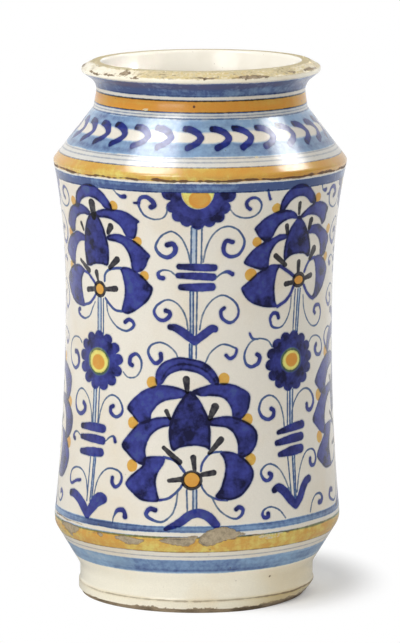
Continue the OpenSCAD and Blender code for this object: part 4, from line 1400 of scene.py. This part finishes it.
def painted_glaze(name, cream=False, wash_edge=0.28, shine=0.5):
    """A fired glaze with all its pigments. Lost glaze shows clay, and dirt lies on top, with painted shade
    under the upper ridge and on the foot's right. Shine is the share that it mirrors, 0.5 for common glass
    and more where the glaze lies thick."""
    glaze = PaintedGlaze(name, cream)
    glaze.stain()
    glaze.wash(wash_edge)
    glaze.gold()
    glaze.cobalt()
    glaze.dark()
    lost = glaze.lost_glaze()
    # Dirt, with painted shade under the upper ridge and on the foot's right, darkens the glaze and dulls it
    soiled = glaze.laid("grime", 0.16)
    glaze.dim(soiled, DIRT_AND_SHADE)
    dirty = combine(glaze.tree, "MULTIPLY", soiled, 0.7)
    glaze.fire(combine(glaze.tree, "MAXIMUM", lost, dirty), shine)
    return glaze.material


def bare_clay():
    """Fired buff clay: clouds of iron stain, sandy grain and pores."""
    shades = bpy.context.scene.albarello_colours
    material, tree, shader, spot = new_material("bare clay")
    cloud = noise(tree, spot, 45, 5)
    grain = noise(tree, spot, 1300, 4, 0.7)
    base = mixed(tree, ramped(tree, cloud, 0.38, 0.66), shades.clay, shades.stained_clay)
    base = mixed(tree, ramped(tree, grain, 0.5, 0.8, 0.0, 0.55), base, shades.worn_clay)
    height = add(tree, "ShaderNodeSeparateXYZ", {0: spot}).outputs["Z"]
    base = mixed(tree, ramped(tree, height, 0.29, 0.299, 0.0, 0.8), base, shades.worn_clay)
    base = mixed(tree, 1.0, base, ramped(tree, grain, 0.2, 0.5, 0.55, 1.0), "MULTIPLY")
    tree.links.new(base, shader.inputs["Base Color"])
    tree.links.new(ramped(tree, grain, 0.2, 0.8, 0.7, 0.95), shader.inputs["Roughness"])
    bumped(tree, shader, grain, 0.5, 0.0006)
    return material


def white_lining():
    """White tin glaze inside, with pinholes and slightly warmer clouds."""
    shades = bpy.context.scene.albarello_colours
    material, tree, shader, spot = new_material("white lining glaze")
    cloud = noise(tree, spot, 30, 4)
    holes = ramped(tree, noise(tree, spot, 900, 1), 0.78, 0.82)
    base = mixed(tree, ramped(tree, cloud, 0.4, 0.8, 0.0, 0.6), shades.lining, shades.warm_ground)
    base = mixed(tree, holes, base, shades.clay)
    tree.links.new(base, shader.inputs["Base Color"])
    tree.links.new(ramped(tree, cloud, 0.3, 0.7, 0.14, 0.24), shader.inputs["Roughness"])
    bumped(tree, shader, noise(tree, spot, 120, 3), 0.15, 0.001)
    return material


# Jar's shadow on the floor: how a place is squeezed, the shadow's middle in metres after that, the
# distances at which it is full and gone, and how white the floor stays in it
SHADOW_SQUEEZE, SHADOW_MIDDLE = (1, 0.62, 0), (0.048, 0.013, 0)
SHADOW_FULL, SHADOW_GONE, SHADOW_WHITE = 0.032, 0.066, 0.14
# Brightness of what the glaze mirrors on the camera's side, and of the room as it lights the jar
MIRRORED_FRONT, ROOM_LIGHT = 0.12, 0.36


def ray_kinds(tree):
    """Whether the camera sees a place, straight or through something, and whether the glaze mirrors it."""
    path = tree.nodes.new("ShaderNodeLightPath").outputs
    seen = combine(tree, "MAXIMUM", path["Is Camera Ray"], path["Is Transmission Ray"])
    return seen, path["Is Glossy Ray"]


def pale_floor():
    """Floor that is white where it is seen, and takes light and shadow only beside the foot, on the right.
    What the glaze mirrors of it is pale behind the jar and dim on the camera's side."""
    material, tree, shader, spot = new_material("pale floor")
    shader.inputs["Base Color"].default_value = (*bpy.context.scene.albarello_colours.floor, 1)
    shader.inputs["Roughness"].default_value = 0.9
    seen, mirrors = ray_kinds(tree)
    squeezed = add(tree, "ShaderNodeVectorMath", {0: spot, 1: SHADOW_SQUEEZE}, operation="MULTIPLY")
    ends = {0: squeezed.outputs[0], 1: SHADOW_MIDDLE}
    distance = add(tree, "ShaderNodeVectorMath", ends, operation="DISTANCE").outputs["Value"]
    white = ramped(tree, distance, SHADOW_FULL, SHADOW_GONE, SHADOW_WHITE, 1.0)
    share = combine(tree, "MAXIMUM", combine(tree, "MULTIPLY", seen, white), mirrors)
    depth = add(tree, "ShaderNodeSeparateXYZ", {0: spot}).outputs["Y"]
    strength = between(tree, mirrors, 1.0, ramped(tree, depth, -0.3, 0.7, MIRRORED_FRONT, 1.0))
    glow = add(tree, "ShaderNodeEmission", {"Color": (1, 1, 1, 1), "Strength": strength})
    both = add(tree, "ShaderNodeMixShader", {0: share, 1: shader.outputs[0], 2: glow.outputs[0]})
    output = next(node for node in tree.nodes if node.type == "OUTPUT_MATERIAL")
    tree.links.new(both.outputs[0], output.inputs["Surface"])
    return material


# Operators

# Rows of the face between the clay and the lining
HIDDEN_ROWS = 120


def grid_turns(first=0, count=None):
    """Angles of the grid's columns from the front, in radians."""
    columns = bpy.context.scene.albarello_sizes.columns
    count = columns if count is None else count
    return FIRST_COLUMN / PAINT_R + (first + np.arange(count)) * 2 * np.pi / columns


def with_fine_rings(heights):
    """Heights with rows added at the edges and the middle of each fine ring, so that none falls between
    rows. Rows that come too near to an added one make way."""
    fine, past_edge, from_ends, too_near = 1.0, 0.3, 0.1, 0.2
    added = []
    for _, low, high, _, _ in BANDS:
        if high - low < fine:
            added += [low - past_edge, low, (low + high) / 2, high, high + past_edge]
    added = np.array([z for z in added if heights[0] + from_ends < z < heights[-1] - from_ends])
    if len(added) == 0:
        return heights
    gap = np.abs(heights[:, None] - added).min(1)
    gap[[0, -1]] = fine
    return np.unique(np.concatenate((heights[gap > too_near], added)))


def coat(name, node, material, strokes, coarse=1.0):
    """One whole ring of glaze between the heights of its CAD node, painted with the given strokes."""
    sizes = bpy.context.scene.albarello_sizes
    wall = Wall(sizes.glaze / MM)
    turn = grid_turns()
    heights = with_fine_rings(wall.rows(*zone(node), coarse * sizes.step / MM))
    canvas = painted(turn, heights, strokes)
    finished(glaze_shell(name, turn, heights, wall, canvas, True), node, material)


class ALBARELLO_OT_clay(bpy.types.Operator):
    """Throws the clay pot: underside, bare foot edge, wall under the glaze and worn flat of the lip"""

    bl_idname = "albarello.clay"
    bl_label = "Clay pot"

    def execute(self, context):
        sizes = context.scene.albarello_sizes
        glaze = sizes.glaze / MM
        wall = Wall(glaze)
        low, high = zone("clay_body")
        foot_low = zone("foot_glaze")[0]
        edge_r = wall.inner(foot_low)
        spots, _ = vertices("clay_body")
        bottom_r = np.hypot(spots[:, 0], spots[:, 1])[spots[:, 2] < 0.01].max()
        underside = [(r, low) for r in np.linspace(0, bottom_r, 46)]
        bevel = [(bottom_r + (edge_r - bottom_r) * t, foot_low * t) for t in np.linspace(0.2, 1, 5)]
        outside = [(wall.inner(z) - 0.1, z) for z in wall.rows(foot_low + 0.5, high, 1.5)]
        inside_z, inside_r = inside_wall(1, HIDDEN_ROWS)
        inside = [(r + 0.02, z) for z, r in zip(inside_z[::-1], inside_r[::-1])]
        flat = [(r, high) for r in np.linspace(outside[-1][0], inside[0][0], 8)[1:-1]]
        path = np.array(underside + bevel + outside + flat + inside + [(0, inside[-1][1])])
        mesh = turned_shell("thrown_clay", path, 208, self.hand_marks)
        finished(mesh, "clay_body", bare_clay())
        return {"FINISHED"}

    @staticmethod
    def hand_marks(turn, r, z):
        """Turning rings and a shallow spiral on the underside, and dents along the flat of the lip."""
        under = np.where(z < 0.01, eased(r / 20) * eased((64 - r) / 6), 0)
        rings = under * 0.12 * (1 + np.sin(2.1 * r + turn + 2 * np.sin(0.3 * r)))
        top = np.where((z > 299.9) & (r > 57) & (r < 60.4), 1, 0)
        dents = top * 0.1 * (np.sin(5 * turn + 2 * np.sin(3 * turn)) + np.sin(17 * turn) - 1.2)
        return np.stack((np.zeros_like(rings), rings + dents), -1)


class ALBARELLO_OT_lining(bpy.types.Operator):
    """Pours the white lining, with the potter's finger rings showing through it"""

    bl_idname = "albarello.lining"
    bl_label = "Lining"

    def execute(self, context):
        low = zone("inner_glaze")[0]
        heights, radius = inside_wall(-1, 170)
        floor = heights[0]
        bottom = [(r, floor) for r in np.linspace(0, radius[0], 40)[:-1]]
        hidden_z, hidden_r = inside_wall(1, HIDDEN_ROWS)
        hidden = list(zip(hidden_r[::-1], hidden_z[::-1]))
        path = np.array(bottom + list(zip(radius, heights)) + hidden + [(0, low)])[::-1]
        mesh = turned_shell("white_lining_coat", path, 184, self.finger_rings)
        finished(mesh, "inner_glaze", white_lining())
        return {"FINISHED"}

    @staticmethod
    def finger_rings(turn, r, z):
        """A spiral ridge about 9 mm apart up the inside, fading at the floor and at the mouth."""
        depth = bpy.context.scene.albarello_sizes.throwing_depth / MM
        fade = eased((z - 14) / 20) * eased((285 - z) / 25)
        wave = -0.5 * depth * fade * (1 + np.sin(2 * np.pi * z / 9 + turn + 0.6 * np.sin(z / 23)))
        visible = np.where(r > 40, 1, 0)
        return np.stack((wave * visible, np.zeros_like(wave)), -1)


class ALBARELLO_OT_foot(bpy.types.Operator):
    """Glazes the foot, with its groove and ragged lower edge, and paints the blue band on the flare"""

    bl_idname = "albarello.foot"
    bl_label = "Foot and flare"

    def execute(self, context):
        cream = painted_glaze("cream foot glaze", cream=True)
        coat("foot_coat", "foot_glaze", cream, chips(), 1.5)
        blue = painted_glaze("blue flare band")
        coat("flare_band_coat", "flare_blue_band", blue, chips() + self.overlaps())
        return {"FINISHED"}

    @staticmethod
    def overlaps():
        """Where the brush went over the band on the flare once more."""
        strokes = []
        brush = Brush(strokes)
        line = ((-52, 23.4), (-20, 25.2), (0, 27.8), (20, 29))
        brush.path("wash", line, (1.2, 2.0, 1.6, 0.5), (0.8, 1.0, 1.05))
        middle = (-64, 26.2), (-30, 26.6), (0, 27), (30, 26.6), (56, 26)
        brush.vein("wash", (0, 0.32, 0.45, 0.26, 0), 3.8, *middle)
        low = (-80, 23.2), (-40, 23.4), (0, 23.6), (40, 23.4), (74, 23)
        brush.vein("wash", (0, 0.12, 0.1, 0.08, 0), 1.0, *low)
        brush.vein("wash", (0, 0.16, 0.22, 0.14), 2.4, (48, 27.4), (64, 27), (80, 26.8), (98, 27))
        return strokes


class ALBARELLO_OT_ridges(bpy.types.Operator):
    """Paints the yellow bands over the two ridges, with the lost glaze along them"""

    bl_idname = "albarello.ridges"
    bl_label = "Ridges"

    def execute(self, context):
        yellow = painted_glaze("yellow ridge glaze", shine=1.0)
        coat("lower_ridge_coat", "lower_ridge_band", yellow, chips() + field_strokes())
        coat("upper_ridge_coat", "upper_ridge_band", yellow, chips())
        return {"FINISHED"}


class ALBARELLO_OT_borders(bpy.types.Operator):
    """Paints the blue borders under and over the field"""

    bl_idname = "albarello.borders"
    bl_label = "Borders"

    def execute(self, context):
        blue = painted_glaze("blue border glaze")
        strokes = chips() + field_strokes()
        coat("lower_border_coat", "lower_border", blue, strokes)
        coat("upper_border_coat", "upper_border", blue, strokes)
        return {"FINISHED"}


class ALBARELLO_OT_field(bpy.types.Operator):
    """Paints the field with its palmettes, rosettes, stems and curls, in eight panels"""

    bl_idname = "albarello.field"
    bl_label = "Painted field"

    def execute(self, context):
        sizes = context.scene.albarello_sizes
        wall = Wall(sizes.glaze / MM)
        heights = wall.rows(*zone("body_glaze"), sizes.step / MM)
        strokes = chips() + field_strokes()
        material = painted_glaze("painted field glaze")
        wide = sizes.columns // PANELS
        for number in range(PANELS):
            turn = grid_turns(number * wide, wide + 1)
            canvas = painted(turn, heights, strokes)
            mesh = glaze_shell(f"field_panel_{number + 1}", turn, heights, wall, canvas, False)
            finished(mesh, "body_glaze", material)
        return {"FINISHED"}


class ALBARELLO_OT_shoulder(bpy.types.Operator):
    """Washes the shoulder and paints its row of arrowheads"""

    bl_idname = "albarello.shoulder"
    bl_label = "Shoulder"

    def execute(self, context):
        strokes = chips() + shoulder_strokes()
        brush = Brush(strokes)
        brush.vein("wash", (0.1, 0.26, 0.2, 0), 3.4, (-98, 271), (-80, 271), (-60, 271.2), (-40, 271.2))
        brush.vein("wash", (0, 0.12, 0.1, 0), 3.0, (-92, 258.4), (-70, 258.6), (-54, 258.8), (-36, 258.8))
        washed = painted_glaze("washed shoulder glaze", wash_edge=0.8, shine=0.85)
        coat("shoulder_coat", "shoulder_glaze", washed, strokes, 1.6)
        return {"FINISHED"}


class ALBARELLO_OT_neck(bpy.types.Operator):
    """Paints the orange and blue bands of the neck, and glazes the worn lip"""

    bl_idname = "albarello.neck"
    bl_label = "Neck and lip"

    def execute(self, context):
        orange = painted_glaze("orange neck glaze")
        coat("neck_orange_coat", "neck_orange_band", orange, chips())
        blue = painted_glaze("blue neck glaze")
        coat("neck_blue_coat", "neck_blue_band", blue, chips(), 1.3)
        cream = painted_glaze("cream lip glaze", cream=True)
        coat("lip_coat", "lip_glaze", cream, chips())
        return {"FINISHED"}


# Studio lights: name, place, aim, width and height in metres, power in watts and beam in degrees
SOFTBOXES = (
    ("front softbox", (-0.95, -1.55, 1.15), (0, 0, 0.12), 1.0, 1.0, 17.8, 180),
    ("left softbox", (-0.62, -0.36, 1.46), (0, 0, 0.2), 0.66, 0.45, 8.5, 180),
    ("right softbox", (1.0, 0.2, 1.2), (0, 0, 0.2), 0.45, 0.32, 5, 180),
    ("mouth softbox", (0.78, 0.06, 0.485), (-0.045, 0.02, 0.295), 0.08, 0.05, 0.0095, 8),
)
# Camera: place and reach in metres, degrees that it looks down, and lens and sensor in mm
CAMERA_PLACE, CAMERA_REACH, LOOK_DOWN, LENS, SENSOR = (0.0021, -2.6568, 0.5811), 20, 9.153, 268.1, 36
# Floor: half its width in metres, and its cells along one side
FLOOR_HALF, FLOOR_CELLS = 8, 16


def softbox(name, place, aim, wide, tall, power, beam):
    """A soft rectangular studio light turned towards a point, with a beam of so many degrees."""
    lamp = bpy.data.lights.new(name, "AREA")
    lamp.shape, lamp.size, lamp.size_y, lamp.energy = "RECTANGLE", wide, tall, power
    lamp.spread = math.radians(beam)
    light = bpy.data.objects.new(name, lamp)
    light.location = place
    light.rotation_euler = (Vector(aim) - Vector(place)).to_track_quat("-Z", "Y").to_euler()
    bpy.context.collection.objects.link(light)


class ALBARELLO_OT_stage(bpy.types.Operator):
    """Sets the pale floor, the white surroundings, the softboxes and the camera"""

    bl_idname = "albarello.stage"
    bl_label = "Stage"

    def execute(self, context):
        self.floor(context)
        self.surroundings(context)
        for light in SOFTBOXES:
            softbox(*light)
        self.set_camera(context)
        context.scene.view_settings.view_transform = "Standard"
        return {"FINISHED"}

    def floor(self, context):
        """A flat sheet of square cells."""
        row = FLOOR_CELLS + 1
        across = np.linspace(-FLOOR_HALF, FLOOR_HALF, row)
        x, y = (grid.ravel() for grid in np.meshgrid(across, across, indexing="ij"))
        points = np.stack((x, y, np.zeros_like(x)), -1)
        corner = (np.arange(FLOOR_CELLS)[:, None] * row + np.arange(FLOOR_CELLS)).ravel()
        faces = np.stack((corner, corner + row, corner + row + 1, corner + 1), -1)
        mesh = mesh_from("floor", points, faces.ravel(), np.full(len(faces), 4))
        floor = bpy.data.objects.new("floor", mesh)
        context.collection.objects.link(floor)
        mesh.materials.append(pale_floor())

    def surroundings(self, context):
        """White all round where it is seen. What the glaze mirrors is white behind the jar and dim on the
        camera's side, and the light on the jar is softer."""
        world = bpy.data.worlds.new("white room")
        world.use_nodes = True
        tree = world.node_tree
        seen, mirrors = ray_kinds(tree)
        direction = tree.nodes.new("ShaderNodeTexCoord").outputs["Generated"]
        depth = add(tree, "ShaderNodeSeparateXYZ", {0: direction}).outputs["Y"]
        mirrored = ramped(tree, depth, 0.2, 0.9, MIRRORED_FRONT, 1.0)
        strength = combine(tree, "MAXIMUM", between(tree, mirrors, ROOM_LIGHT, mirrored), seen)
        background = tree.nodes["Background"]
        background.inputs["Color"].default_value = (1, 1, 1, 1)
        tree.links.new(strength, background.inputs["Strength"])
        context.scene.world = world

    def set_camera(self, context):
        """Looks down at the jar from the front, through a long lens."""
        camera = bpy.data.objects.new("camera", bpy.data.cameras.new("camera"))
        camera.data.lens = LENS
        camera.data.sensor_width = SENSOR
        camera.data.clip_end = CAMERA_REACH
        camera.location = CAMERA_PLACE
        camera.rotation_euler = (math.radians(90 - LOOK_DOWN), 0, 0)
        context.collection.objects.link(camera)
        context.scene.camera = camera


class ALBARELLO_PT_panel(bpy.types.Panel):
    """Lists the pieces of the jar and the stage"""

    bl_label = "Albarello"
    bl_space_type = "VIEW_3D"
    bl_region_type = "UI"
    bl_category = "Albarello"

    def draw(self, context):
        for operator in OPERATORS:
            self.layout.operator(operator.bl_idname)
        for group in (context.scene.albarello_sizes, context.scene.albarello_colours):
            column = self.layout.column()
            for name in group.bl_rna.properties.keys():
                if name not in ("rna_type", "name"):
                    column.prop(group, name)


OPERATORS = (
    ALBARELLO_OT_clay, ALBARELLO_OT_lining, ALBARELLO_OT_foot, ALBARELLO_OT_ridges, ALBARELLO_OT_borders,
    ALBARELLO_OT_field, ALBARELLO_OT_shoulder, ALBARELLO_OT_neck, ALBARELLO_OT_stage,
)
CLASSES = (AlbarelloSizes, AlbarelloColours, *OPERATORS, ALBARELLO_PT_panel)


def register():
    for cls in CLASSES:
        bpy.utils.register_class(cls)
    bpy.types.Scene.albarello_sizes = bpy.props.PointerProperty(type=AlbarelloSizes)
    bpy.types.Scene.albarello_colours = bpy.props.PointerProperty(type=AlbarelloColours)


def unregister():
    del bpy.types.Scene.albarello_colours
    del bpy.types.Scene.albarello_sizes
    for cls in reversed(CLASSES):
        bpy.utils.unregister_class(cls)


def main():
    register()
    for operator in OPERATORS:
        group, name = operator.bl_idname.split(".")
        getattr(getattr(bpy.ops, group), name)()


if __name__ == "__main__":
    main()
